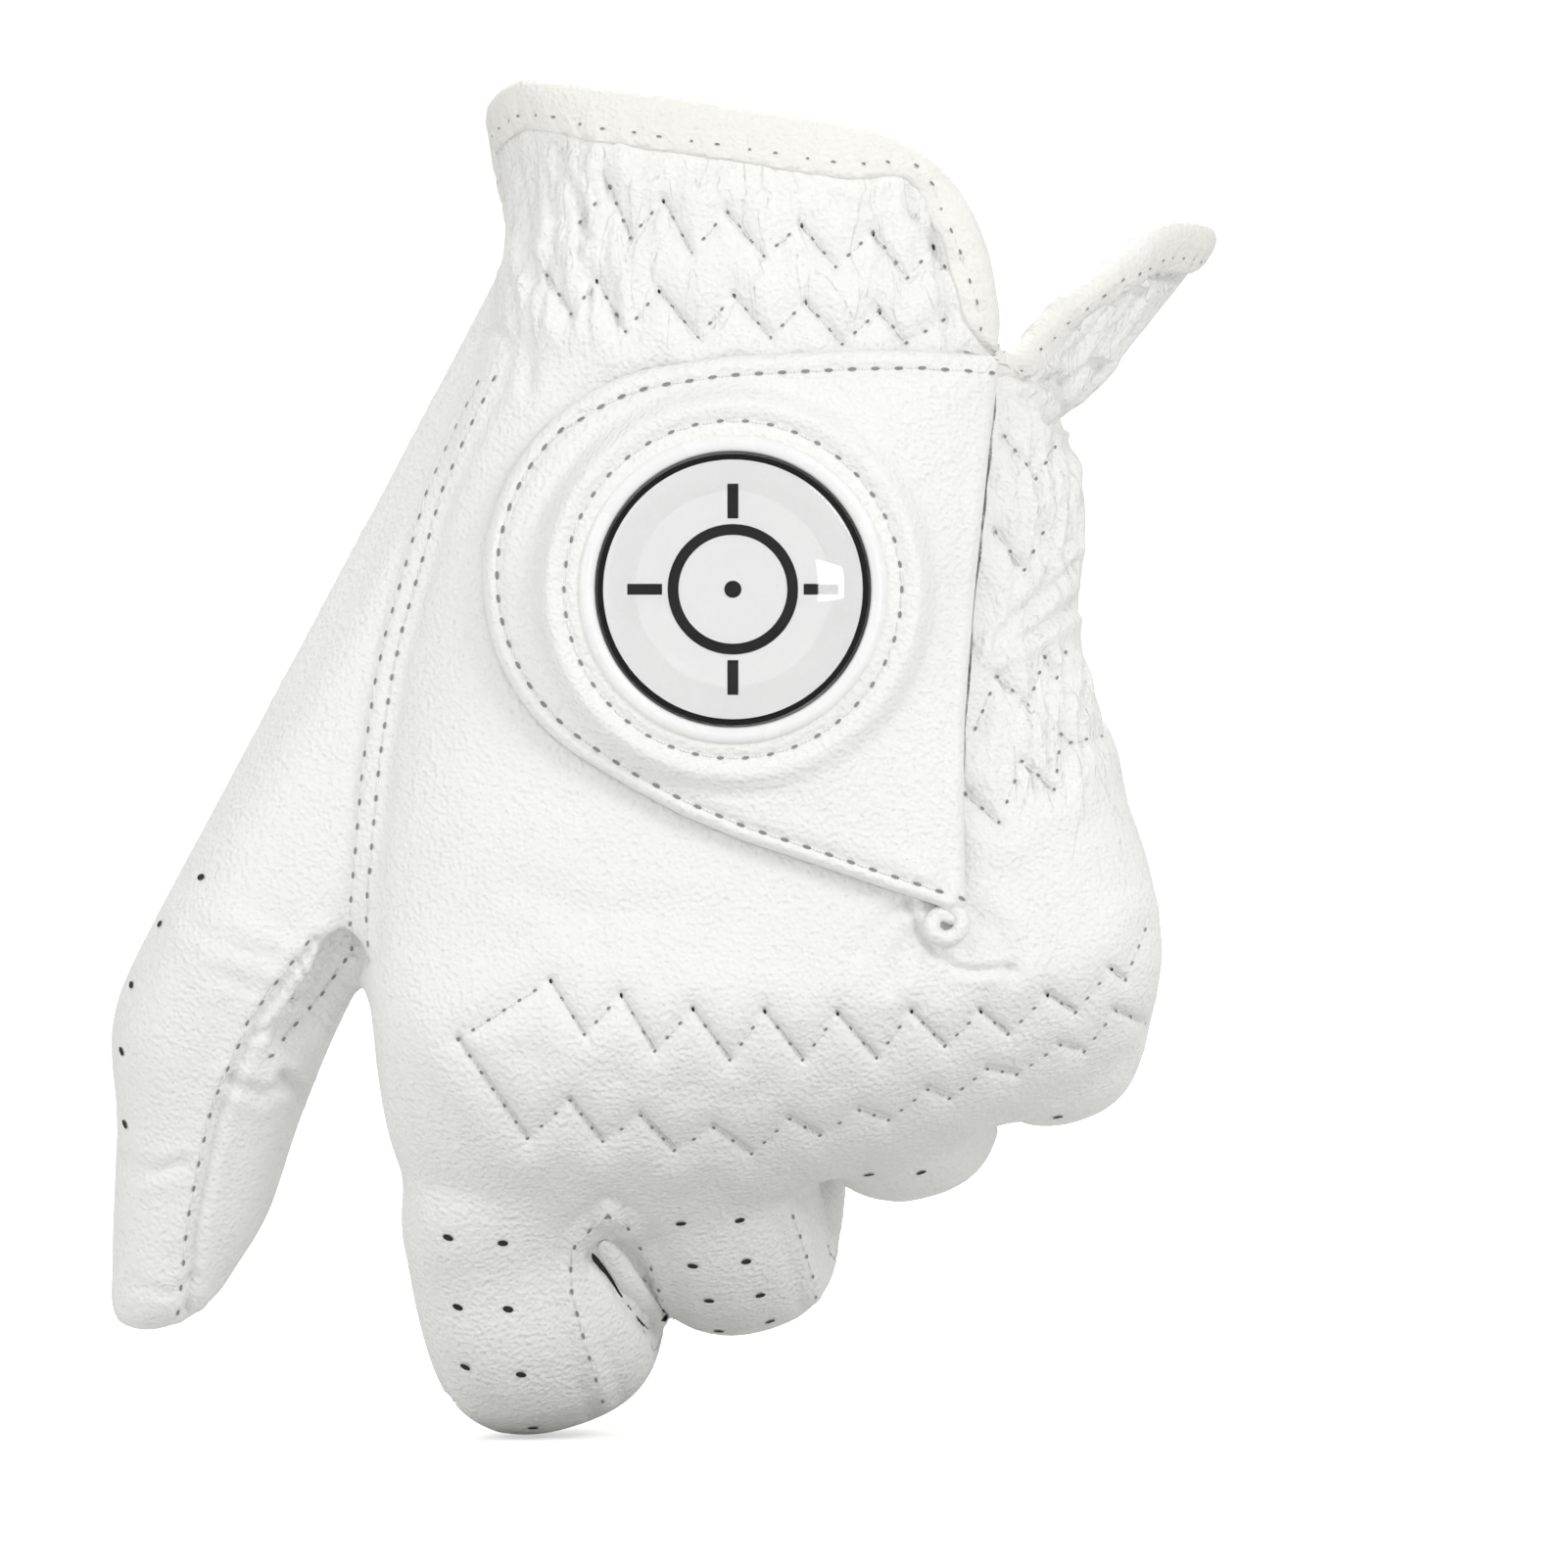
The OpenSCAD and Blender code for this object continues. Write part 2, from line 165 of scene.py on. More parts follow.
def apply_modifiers(obj):
    deps = bpy.context.evaluated_depsgraph_get()
    deps.update()
    mesh = bpy.data.meshes.new_from_object(obj.evaluated_get(deps))
    old = obj.data
    obj.modifiers.clear()
    obj.data = mesh
    bpy.data.meshes.remove(old)
    mesh.name = obj.name


def join(objs, name):
    verts, faces, offset = [], [], 0
    for o in objs:
        verts += [tuple(v.co) for v in o.data.vertices]
        faces += [tuple(i + offset for i in p.vertices) for p in o.data.polygons]
        offset = len(verts)
        bpy.data.objects.remove(o)
    return mesh_object(name, verts, faces)


def coords(obj):
    a = np.empty(len(obj.data.vertices) * 3, np.float32)
    obj.data.vertices.foreach_get("co", a)
    return a.reshape(-1, 3).astype(float)


def normals(obj):
    obj.data.update()
    a = np.empty(len(obj.data.vertices) * 3, np.float32)
    obj.data.vertex_normals.foreach_get("vector", a)
    return a.reshape(-1, 3).astype(float)


def set_coords(obj, a):
    obj.data.vertices.foreach_set("co", np.asarray(a, np.float32).ravel())
    obj.data.update()


def seen(p):
    """Where a point appears, as (x, z) on the plane of the marker's face."""
    k = VIEW_DISTANCE / (VIEW_DISTANCE + p[..., 1] - LOOK_AT[1])
    return np.stack([LOOK_AT[i] + (p[..., i] - LOOK_AT[i]) * k for i in (0, 2)], -1)


# ---------------------------------------------------------------- the hand's shape
back_sections = [
    [[1.0, 0, 27], [25.4, 0, -1.5], [0, 19.5, 0]],
    [[1.2, -0.5, 13.7], [24.8, 0, -2], [0, 19.5, 0]],
    [[1.9, -1.3, 5.2], [23.4, 0, -2.8], [0, 20.3, 0]],
    [[2.8, -2.5, -8], [25.5, 0, -3], [0, 21, 0]],
    [[1.5, -4.5, -20], [30.2, 0, -2], [0, 19.8, 0]],
    [[-0.6, -6, -33], [31.6, 0, -1], [0, 18.5, 0]],
    [[0, -9.3, -47], [34.4, 0, 0], [0, 15.5, 0]],
    [[0.9, -10.7, -57.5], [36.4, 0, 2], [0, 14.5, 1.5]],
    [[2, -11.5, -66.3], [36.7, 1, 3.5], [0, 13.5, 4]],
    [[2.5, -6.5, -74], [36, 1.8, 6], [0, 11, 6.3]],
    [[3.8, -0.3, -80], [34.3, 2.8, 9.5], [0, 6.2, 7]],
]
palm_sections = [
    [[11, 2, 18], [35, 2, -8], [0, 16.5, -16]],
    [[8.1, 0.7, 8.6], [31.7, 1.2, -7], [0, 17, -14]],
    [[6, -0.5, 0], [28.4, 0.5, -6], [0, 18, -11]],
    [[2.7, -2.5, -9], [26.2, 0, -4], [0, 19.8, -7]],
] + back_sections[4:]
thumb_sections = [
    [[-45.9, -2, -63.6], [9.2, 0, -3.2], [0, 10.6, 0.8]],
    [[-49.8, 0.5, -71.8], [9.9, 0, -1.5], [0, 9.8, 1.2]],
    [[-51.3, 3.4, -80.6], [8.4, 0, -0.3], [0, 8.4, 1.5]],
    [[-53, 5.4, -89.6], [7.3, 0, 0.5], [0, 7.2, 1.4]],
    [[-54.7, 6.8, -95.4], [5.6, 0, 1], [0, 6, 1.2]],
]
web = [np.array(c, float) for c in back_sections[-1]]
web_side = unit(web[1])
web_out = unit(np.cross(web[2], web[1]))
# place along the web, middle joint, last joint, tip, and half widths at the web, at each joint and at the tip
fingers = {
    "index": (-0.765, [-19.3, 8, -101.9], [-16.5, 32, -92], [-19, 35.5, -74], [10.5, 10.2, 8.8, 8.5]),
    "middle": (-0.235, [-0.6, 14, -93], [1.2, 32, -81], [-1.5, 35, -62], [9.7, 8.7, 8.2, 8.0]),
    "ring": (0.285, [15.9, 14, -79.4], [17, 31, -68], [13.5, 34.5, -51], [9.4, 8.0, 7.7, 7.5]),
    "little": (0.76, [29.9, 12.5, -71.2], [31.4, 28, -61], [29.5, 33, -47], [8.5, 7.4, 7.0, 6.8]),
}
FINGER_HALF, TIP_HALF = 8.4, 7.0


def finger_rings(f, angles):
    place, joint, last_joint, tip, widths = f
    base = web[0] + web[1] * place + web_out * 0.4
    line = [base, np.array(joint, float), np.array(last_joint, float), np.array(tip, float)]
    share = widths[0] / np.linalg.norm(web[1])
    thick = [np.linalg.norm(web[2]) - 0.2, FINGER_HALF, (FINGER_HALF + TIP_HALF) / 2, TIP_HALF]
    rings = []
    seam_angles = np.radians([22, 158, 202, 338])
    seams = []
    for back, size in ((8, 0.75), (4, 0.92)):
        rings.append(ring([base - web_out * back, web[1] * share * size, web[2] * size], angles))
    rings.append(ring([base, web[1] * share, web[2] * (1 - 0.2 / np.linalg.norm(web[2]))], angles))
    for v in np.arange(0.125, 3.001, 0.125):
        run = unit(spline(line, v + 0.02) - spline(line, min(v - 0.02, 2.98)))
        t = unit(web_out * (1 - v) + run * v) if v < 1 else run
        a = unit(web_side - np.dot(web_side, t) * t)
        n = unit(np.cross(a, t))
        n = unit(unit(web[2]) * (1 - v) + n * v) if v < 1 else n
        s = [spline(line, v), a * spline(widths, v), n * spline(thick, v)]
        rings.append(ring(s, angles, FINGER_POWER))
        if v > 0.5:
            seams.append(ring(s, seam_angles, FINGER_POWER))
    for c in np.radians([15, 30, 45, 58, 70, 80, 86]):
        r = [s[0] + t * TIP_HALF * math.sin(c), s[1] * math.cos(c), s[2] * math.cos(c)]
        rings.append(ring(r, angles, FINGER_POWER))
    return rings, np.array(seams).swapaxes(0, 1)


def hole_point(turn):
    """The edge of the thumb's opening: 180 to 360 degrees is its back edge, 360 to 540 its palm edge."""
    back = [180, 180, 180.3, 189, 198, 202, 202, 193, 180.3, 180.3, 180.3]
    palm = [180, 180, 179.7, 166, 150, 144, 144, 160, 179.7, 179.7, 179.7]
    share = (turn - 180) / 180 if turn <= 360 else (540 - turn) / 180
    v = 2.4 + 5.6 * share
    sections, edge = (back_sections, back) if turn <= 360 else (palm_sections, palm)
    return ring(section_at(sections, v), np.radians([float(spline(edge, v))]))[0]


def thumb_rings():
    turns = np.arange(180, 540, 7.5)
    angles = np.radians(turns)
    root = np.array([hole_point(t) for t in turns])
    inside = np.mean(root, axis=0) + np.array([10, 0, 0])
    join_ring = ring(thumb_sections[0], angles, THUMB_POWER)
    bulge = np.stack([0 * turns, 12 * np.maximum(0, np.sin(angles)), 0 * turns], -1)
    rings = [inside + (root - inside) * 0.6]
    rings += [root * (1 - u) + join_ring * u + bulge * u * (1 - u) for u in np.linspace(0, 1, 9)]
    rings += [ring(section_at(thumb_sections, v), angles, THUMB_POWER) for v in np.arange(0.2, 4.01, 0.2)]
    c, w, t = (np.array(q, float) for q in thumb_sections[-1])
    out = unit([-0.35, 0.2, -0.92]) * 5.4
    for a in np.radians([20, 40, 58, 72, 83]):
        rings.append(ring([c + out * math.sin(a), w * math.cos(a), t * math.cos(a)], angles, THUMB_POWER))
    return rings


around = np.radians(np.arange(0, 360, 4))
solids = []
for name, sections in (("back", back_sections), ("palm", palm_sections)):
    rings = [ring(section_at(sections, v), around) for v in np.arange(0, 10.01, 0.25)]
    c, w, t = web
    for a in np.radians([25, 50, 70]):
        cap = [c + web_out * 3 * math.sin(a), w * (0.9 + 0.1 * math.cos(a)), t * math.cos(a)]
        rings.append(ring(cap, around))
    solids.append(loft(name, rings))
finger_seams = {}
for name, f in fingers.items():
    rings, finger_seams[name] = finger_rings(f, around)
    solids.append(loft(name, rings))
solids.append(loft("thumb", thumb_rings()))
hand = join(solids, "hand")
add_modifier(hand, "REMESH", mode="VOXEL", voxel_size=VOXEL)
add_modifier(hand, "SMOOTH", factor=0.5, iterations=7)
apply_modifiers(hand)
# Smoothing draws the skin in, so it goes back out.
set_coords(hand, coords(hand) + normals(hand) * SMOOTHING_LOSS)
# The knuckles run on into the fingers without a step.
p = coords(hand)
away = (p - web[0]) @ web_out
near_web = np.clip(1.4 - np.abs(away + 1) / 6, 0, 1) * smooth((8 - (p - web[0]) @ unit(web[2])) / 8)
near_web *= smooth((-30 - p[:, 2]) / 20)
group = hand.vertex_groups.new(name="near_web")
for i in np.nonzero(near_web > 0.01)[0]:
    group.add([int(i)], float(near_web[i]), "REPLACE")
add_modifier(hand, "SMOOTH", factor=0.5, iterations=40, vertex_group="near_web")
apply_modifiers(hand)
hand.vertex_groups.clear()


# ---------------------------------------------------------------- cutting it open
def line_at(line, x):
    line = np.array(line, float)
    return np.interp(x, line[:, 0], line[:, 1])


# The cuff's edge on the back of the hand, the notch over the slit and the edge of the loose corner.
cuff_line = [(-45, 14.4), (-23.6, 15.6), (-21.5, 17.1), (-5.4, 14.7), (9.9, 12.3), (13, 11.5),
    (15.6, 10.2), (17.8, 8.6), (19.6, 6.5), (21, 4), (22.1, 1), (23, -3), (23.5, -6), (23.8, -9.2),
    (24.4, -9.2), (27.5, -6.2), (30.6, -3.2), (37.8, 2.8), (40, 4), (42.5, 4.3), (60, 4)]
palm_line = [(-45, -6), (-10, -8), (10, -8.5), (22, -10), (24.4, -9.6), (27.5, -6.6), (30.6, -3.6),
    (37.8, 2.2), (40, 3.4), (42.5, 3.8), (60, 3.5)]


def cuff_height(x, y):
    s = smooth((y - 1) / 15)
    return line_at(cuff_line, x) * (1 - s) + line_at(palm_line, x) * s


def slab(name, outline, y0, y1):
    n = len(outline)
    verts = [(x, y0, z) for x, z in outline] + [(x, y1, z) for x, z in outline]
    ends = [tuple(range(n))[::-1], tuple(range(n, 2 * n))]
    return mesh_object(name, verts, ends + grid_faces(2, n, ring_across=True))


def cut_away(obj, cutter):
    """Cuts with a closed solid. The faces that the cut leaves get the second material."""
    for o in (obj, cutter):
        while len(o.data.materials) < 2:
            o.data.materials.append(leather)
    cutter.data.polygons.foreach_set("material_index", [1] * len(cutter.data.polygons))
    outward(cutter)
    add_modifier(obj, "BOOLEAN", operation="DIFFERENCE", solver="MANIFOLD", object=cutter)
    apply_modifiers(obj)
    bpy.data.objects.remove(cutter)


leather = bpy.data.materials.new("white_leather")
xs = np.concatenate([np.arange(-45, 12, 1.5), np.arange(12, 44.1, 0.4), np.arange(46, 61, 3)])
ys = np.concatenate([[-45, -30, -20, -10], np.arange(-4, 16.1, 1.0), [20, 30, 45]])
low = [(x, y, cuff_height(x, y)) for y in ys for x in xs]
top = [(x, y, 60) for y in ys for x in xs]
nx, ny = len(xs), len(ys)
faces = []
for f in grid_faces(ny, nx):
    faces += [f, tuple(v + nx * ny for v in f[::-1])]
edge = list(range(nx)) + [j * nx + nx - 1 for j in range(1, ny)]
edge += [(ny - 1) * nx + i for i in range(nx - 2, -1, -1)] + [j * nx for j in range(ny - 2, 0, -1)]
for a, b in zip(edge, edge[1:] + edge[:1]):
    faces.append((a, b, b + nx * ny, a + nx * ny))
cut_away(hand, mesh_object("cuff_cutter", low + top, faces))
slit_line = [(23.6, -6), (23.1, -9.5), (22.5, -16.8), (21.2, -29.3), (20.5, -37.5), (20.1, -43),
    (19.7, -52), (19.4, -59.5)]
SLIT_HALF = 0.3
slit_outline = [(x - SLIT_HALF, z) for x, z in slit_line] + [(x + SLIT_HALF, z) for x, z in slit_line[::-1]]
cut_away(hand, slab("slit_cutter", slit_outline, -50, -3))
with edited(hand) as bm:
    bmesh.ops.delete(bm, geom=[f for f in bm.faces if f.material_index == 1], context="FACES")
    bmesh.ops.delete(bm, geom=[v for v in bm.verts if not v.link_faces], context="VERTS")


# ---------------------------------------------------------------- seams, stitches and folds
# Lines are (x, z) as they appear on the plane of the marker's face.
wrist_rows = [
    [(-15.2, 3.1), (-12.4, 6.4), (-10.6, 1.6), (-7.5, 5.1), (-4.9, 0.3), (-1.6, 4.1), (1.8, 0), (5.2, 2.9),
        (8.4, -1), (11.8, 2.2), (15, -2), (17.4, 0.9), (18.4, -1)],
    [(-18.2, -1.8), (-16, -5.4), (-13.6, -2.3), (-11, -7), (-7.9, -3.2), (-4.3, -7.5), (-1, -3.6), (2.4, -7.5),
        (5.6, -4.2), (9, -8.1), (12.4, -5), (14.9, -8), (18.3, -5.9)],
]
knuckle_rows = [
    [(-26.4, -72.1), (-17.9, -66.7), (-14.8, -71.7), (-11.4, -68), (-8.3, -73.2), (-4.8, -69.3), (-1.4, -74),
        (1.8, -69.5), (5.3, -74), (8.5, -69.7), (12.1, -73.8), (15.3, -69.5), (18.4, -72.7), (21.7, -69.5),
        (24.2, -71.6), (27.8, -68), (30.4, -69.6), (33.7, -65.6), (35, -66.6), (36.8, -62)],
    [(-26.4, -72.1), (-20, -81.2), (-16.1, -77.7), (-13.1, -81.5), (-9.6, -79.1), (-6.5, -82.3), (-2.9, -80.2),
        (0.6, -82.6), (4.1, -79.4), (6.9, -80.9), (10.5, -78.6), (13.2, -79.5), (16.8, -76.7), (18.8, -77.5),
        (22.3, -74.8), (25, -75.3), (29, -72.6), (31.2, -73.2), (34.1, -69.5), (36.8, -70.6)],
]
heel_rows = [
    [(23.9, -16.6), (26.8, -20.5), (28.5, -17.6)],
    [(23.1, -25.4), (25.7, -28.9), (27.4, -25.5)],
    [(21.2, -43.5), (23.2, -38.7), (26.1, -41.3), (27.6, -36.9), (28.7, -38.8), (29.5, -36.5)],
    [(20.3, -49.5), (23.4, -52.1), (25.5, -46.5), (28.5, -49.1), (29.1, -44), (30, -44.8), (32.8, -44.2)],
]
side_seam = [(-22.9, -8.5), (-23.8, -11.5), (-26.3, -16.5), (-28.6, -21.8), (-30.5, -28.5), (-32.3, -34.7),
    (-33.3, -39.3), (-34.4, -47), (-35.2, -56), (-35.6, -60.5), (-35.4, -63.5)]
thumb_seam = [(-39.4, -63), (-42.3, -66.7), (-44.9, -70.3), (-46.1, -73.4), (-47.3, -75.7), (-48.5, -79.3),
    (-49.5, -83.8), (-50.5, -89.2), (-50.9, -93.7), (-51.3, -97)]
index_welt = [(-12.5, -88.4), (-15.4, -90.7), (-16, -94.2), (-15, -98.4), (-13.9, -102.2), (-12.9, -105.4)]
middle_welt = [(-12.5, -88.4), (-10.9, -89.2), (-9.5, -91.5), (-8.4, -93.6), (-7.7, -95.9), (-7.3, -97.2)]
ring_welt = [(4.4, -88.4), (5.4, -91.2), (6.3, -94.2), (6.5, -95.8)]
web_gap = [(-14, -92.2), (-12, -94), (-10.8, -96.4), (-8.7, -98.5)]
loop_fold = [(15.2, -59.6), (15.6, -61.2), (16.6, -63), (17.8, -64.4), (19.1, -65.3), (20.9, -65.8),
    (24.4, -65.6)]
perforations = [(-27.3, -90.3), (-22.3, -90.8), (-26.4, -96.7), (-21.8, -96.9), (-25.7, -102.2),
    (-20.6, -102.9), (-5.9, -89), (-0.5, -88.7), (-4.8, -92.9), (0.1, -92.5), (-3.3, -96.1), (1.4, -95.6),
    (-2.4, -98.9), (2.3, -98), (11.4, -84.5), (16.2, -84.3), (12, -87.2), (28.8, -79.2), (-19.5, -107.8),
    (-50, -57.2), (-53.8, -61.5), (-56.4, -67.1), (-57.3, -73.2), (-57, -79.9)]


def distance(q, line):
    """How far each (x, z) of q is from a line of points."""
    best = np.full(len(q), 1e9)
    line = np.array(line, float)
    if len(line) == 1:
        return np.hypot(*(q - line[0]).T)
    for a, b in zip(line[:-1], line[1:]):
        d = b - a
        t = np.clip(((q - a) @ d) / (d @ d), 0, 1)
        best = np.minimum(best, np.hypot(*(q - a - t[:, None] * d).T))
    return best


def near_line(q, line):
    """How far each point of q is from a line of points in space."""
    best = np.full(len(q), 1e9)
    for a, b in zip(line[:-1], line[1:]):
        d = b - a
        t = np.clip(((q - a) @ d) / (d @ d), 0, 1)
        best = np.minimum(best, np.linalg.norm(q - a - t[:, None] * d, axis=1))
    return best


def facing(obj):
    n = normals(obj)
    toward = LOOK_AT + np.array([0, -VIEW_DISTANCE, 0]) - coords(obj)
    toward /= np.linalg.norm(toward, axis=1)[:, None]
    return np.sum(n * toward, axis=1)


def inside(q, x0, x1, z0, z1, soft=2.5):
    """A soft-edged box on the marker's plane."""
    return (smooth((q[:, 0] - x0) / soft) * smooth((x1 - q[:, 0]) / soft)
        * smooth((q[:, 1] - z0) / soft) * smooth((z1 - q[:, 1]) / soft))


# Finer mesh along the seams and where the leather is gathered.
fine_lines = wrist_rows + knuckle_rows + heel_rows
fine_lines += [side_seam, thumb_seam, index_welt, middle_welt, ring_welt, web_gap, loop_fold]
for level in range(2):
    q = seen(coords(hand))
    front = facing(hand) > 0.05
    close = np.zeros(len(q), bool)
    for line in fine_lines:
        close |= distance(q, line) < (1.7 if level == 0 else 0.75)
    if level == 0:
        for zone in ((21, 32, -52, -14), (24, 38, -17, 3), (-24, 22, -9, 9), (-55, -33, -100, -60)):
            close |= inside(q, *zone) > 0.05
    close &= front & (coords(hand)[:, 1] < 18)
    with edited(hand) as bm:
        edges = [e for e in bm.edges if close[e.verts[0].index] and close[e.verts[1].index]]
        bmesh.ops.subdivide_edges(bm, edges=edges, cuts=1, use_grid_fill=True)
        bmesh.ops.triangulate(bm, faces=[f for f in bm.faces if len(f.verts) > 4])
p, n, toward = coords(hand), normals(hand), facing(hand)
q = seen(p)
front = smooth((toward - 0.02) / 0.2) * (1 - smooth((p[:, 1] - 15) / 5))
lift = np.zeros(len(p))


def gathers(zone, wave, height, seed, lean=0.0, soft=2.5):
    """Fine folds running down a zone, with sharp valleys between round ridges."""
    global lift
    rng = np.random.default_rng(seed)
    x = q[:, 0] + lean * q[:, 1]
    total = np.zeros(len(q))
    for k, share in ((1.0, 0.65), (1.71, 0.35)):
        a, b, c = rng.uniform(0, 6.28, 3)
        sway = 0.5 * np.sin(q[:, 1] * 0.25 * k + a) + 0.12 * np.sin(q[:, 1] * 0.8 + b)
        total += share * (1 - 2 * np.abs(np.sin(math.pi * k * (x + sway) / wave + c)) ** 0.7)
    lift -= height * total * inside(q, *zone, soft)


for rows, puff in ((wrist_rows, 0.6), (knuckle_rows, 0.36), (heel_rows, 0.5)):
    d = np.min([distance(q, line) for line in rows], axis=0)
    lift += puff * smooth(d / 2.4) * (1 - smooth((d - 2.2) / 3.0))
    lift -= 0.12 * bell(d, 0.5)
    # The legs that run down to the little-finger side pull into a sharp fold.
    for line in rows:
        for a, b in zip(line[:-1], line[1:]):
            if b[0] > a[0] and b[1] < a[1]:
                lift -= 0.55 * bell(distance(q, [a, b]), 0.3)
gathers((-24, -9, -9, 12), 2.2, 0.42, 3)
gathers((-12, 19, -8, 10), 3.0, 0.18, 5)
gathers((24, 32.5, -32, -16), 1.5, 0.5, 7)
gathers((24, 33, -51, -35), 1.5, 0.45, 11, 0.1)
gathers((25, 39, -15, 1), 1.9, 0.45, 13, -0.75)
gathers((-52, -38, -70, -60), 2.4, 0.04, 17, 0.6)
gathers((13, 30, -68, -60), 2.6, 0.1, 19, 0.3)
gathers((-43, -34, -73, -62), 1.5, 0.25, 23, 0.6)
# The gusset at the thumb's base lies deeper than the leather round it.
quirk_line = [(-37.2, -64.4), (-38, -66.6), (-39.8, -69.2), (-41.4, -71.6)]
lift -= 2.6 * np.exp(-((distance(q, quirk_line) / 1.9) ** 4))
# Fold lines: depth, width, how far the leather puffs out beside the fold, and the points.
folds = [
    (0.75, 0.5, 0.25, [(22.9, -36), (25.5, -33.2), (28, -30.4), (30.2, -28.2)]),
    (0.6, 0.5, 0.4, [(23.2, -36.6), (26.5, -34.6), (30.8, -31.8)]),
    (0.45, 0.4, 0.15, [(23.0, -35.2), (26.5, -31), (29.3, -26.5)]),
    (1.2, 0.5, 0.3, [(27.4, -15.1), (28.5, -15.8), (29.6, -15.0), (30.8, -14.4)]),
    (0.75, 0.6, 0.35, [(24.8, -10.4), (27.2, -11.5), (29.4, -11.6), (32.2, -10)]),
    (0.75, 0.5, 0.3, [(25.6, -13.2), (27.4, -14.2), (28.5, -15.6)]),
    (0.6, 0.5, 0.2, [(30.4, -10.8), (32.2, -8.4), (34, -5.6), (35.8, -3.2)]),
    (0.45, 0.45, 0.15, [(29, -9.6), (31.5, -7.4), (33.4, -4.6)]),
    (0.75, 0.5, 0.3, [(36.2, -1.2), (37.6, -1.9), (39, -2.2), (40.6, -2.2)]),
    (0.52, 0.5, 0.15, [(-20.6, 8.8), (-20.2, 3), (-19.6, -3), (-19.9, -12.6)]),
    (0.52, 0.4, 0.15, [(-17.6, 10.6), (-15.4, 5.6), (-14.2, 1.5)]),
    (0.6, 0.35, 0.12, [(15.8, 6.6), (16.8, 5.4), (17.4, 1.2), (18.4, -5.4), (18.7, -8.2)]),
    (0.6, 0.35, 0.15, [(15.1, 6.2), (15.3, 3.7), (17.1, 1.5)]),
    (0.45, 0.4, 0.15, [(8.4, 5.6), (10.6, 4.1), (13.4, 6)]),
    (0.3, 0.7, 0.1, [(-9.6, 7.6), (-4.4, 7), (1.2, 6.6)]),
    (0.18, 0.8, 0.08, [(-51, -61.6), (-46, -64), (-41.2, -65.2)]),
    (0.15, 0.7, 0.06, [(-48.6, -66.2), (-44.6, -67.6), (-41, -67.2)]),
    (0.15, 0.8, 0.06, [(-46.4, -59.2), (-41.5, -62.2)]),
    (0.9, 0.6, 0.3, [(-42.4, -75.4), (-41, -76.6), (-39.4, -77.2)]),
    (0.3, 0.45, 0.2, [(24.6, -18.6), (25.6, -24), (25, -29), (24.4, -33)]),
    (0.22, 0.4, 0.15, [(26.2, -17.4), (27.4, -23), (27, -28)]),
    (0.25, 0.45, 0.15, [(24.2, -37.6), (24, -42.5), (23.4, -47.6)]),
    (0.25, 0.4, 0.15, [(27.4, -36.2), (29, -39.2), (31.4, -41.6)]),
    (0.8, 0.6, 0.0, web_gap),
    (0.6, 0.35, 0.25, loop_fold),
    (0.4, 0.3, 0.0, [(20.6, -60.4), (21.2, -61.8), (21.1, -63.2), (20.2, -64.1), (18.8, -64.6)]),
    (0.4, 0.6, 0.25, [(-47.3, -76), (-44.4, -77.2), (-41.9, -76.1)]),
    (0.3, 0.6, 0.15, [(-57.6, -83), (-54.6, -84.4), (-51.6, -83.6)]),
    (0.35, 0.4, 0.15, [(-45, -71.8), (-41.6, -70.2), (-38.7, -69.8)]),
    (0.25, 0.5, 0.1, [(-56.5, -94.5), (-53, -95.6), (-50.5, -94)]),
    (0.4, 0.7, 0.25, [(15, -59.4), (12.2, -61.8), (10.4, -64.6)]),
    (0.45, 0.6, 0.3, [(15.6, -62), (13.6, -64.6), (13.4, -67.4)]),
    (0.4, 0.8, 0.25, [(21.2, -60.4), (23.6, -62.4), (24.6, -65.8)]),
    (0.22, 1.2, 0.1, [(-21, -58), (-14, -60.5), (-6, -60)]),
]
for depth, width, shoulder, line in folds:
    d = distance(q, line)
    lift += shoulder * bell(d - 2.2 * width, 1.3 * width) - depth * bell(d, width)
d = distance(q, side_seam)
lift += 0.28 * bell(d, 0.9) - 0.32 * bell(d - 1.5, 0.5)
d = distance(q, thumb_seam)
lift += 0.3 * bell(d - 1.2, 0.7) - 0.5 * bell(d, 0.35)
for line in (index_welt, middle_welt, ring_welt):
    d = distance(q, line)
    lift += 0.3 * bell(d, 0.8) - 0.25 * bell(d - 1.6, 0.4)
for hole in perforations:
    lift -= 0.12 * bell(distance(q, [hole]), 0.8)
# Seams that the viewer doesn't face: round the fingers, and round the thumb on the palm.
palm_seam = np.array([hole_point(t) for t in np.arange(372, 532, 7.5)])
sunk = np.zeros(len(p))
for line in [palm_seam] + [line for lines in finger_seams.values() for line in lines]:
    d = near_line(p, line[::2])
    sunk = np.maximum(sunk, 0.45 * bell(d, 0.7) - 0.15 * bell(d - 1.8, 0.8))
sunk *= 1 - smooth((toward - 0.1) / 0.2)
set_coords(hand, p + n * (lift * front - sunk)[:, None])


# ---------------------------------------------------------------- the bound edge
def edge_loops(obj):
    """The open edges of a mesh as lines of points, the longest first."""
    bm = bmesh.new()
    bm.from_mesh(obj.data)
    bm.verts.ensure_lookup_table()
    beside = {}
    for e in bm.edges:
        if e.is_boundary:
            a, b = (v.index for v in e.verts)
            beside.setdefault(a, []).append(b)
            beside.setdefault(b, []).append(a)
    loops, seen_verts = [], set()
    for start in beside:
        if start in seen_verts:
            continue
        path = [start]
        seen_verts.add(start)
        while True:
            following = [v for v in beside[path[-1]] if v not in seen_verts]
            if not following:
                break
            path.append(following[0])
            seen_verts.add(following[0])
        loops.append([tuple(bm.verts[i].co) for i in path])
    bm.free()
    return sorted(loops, key=len, reverse=True)


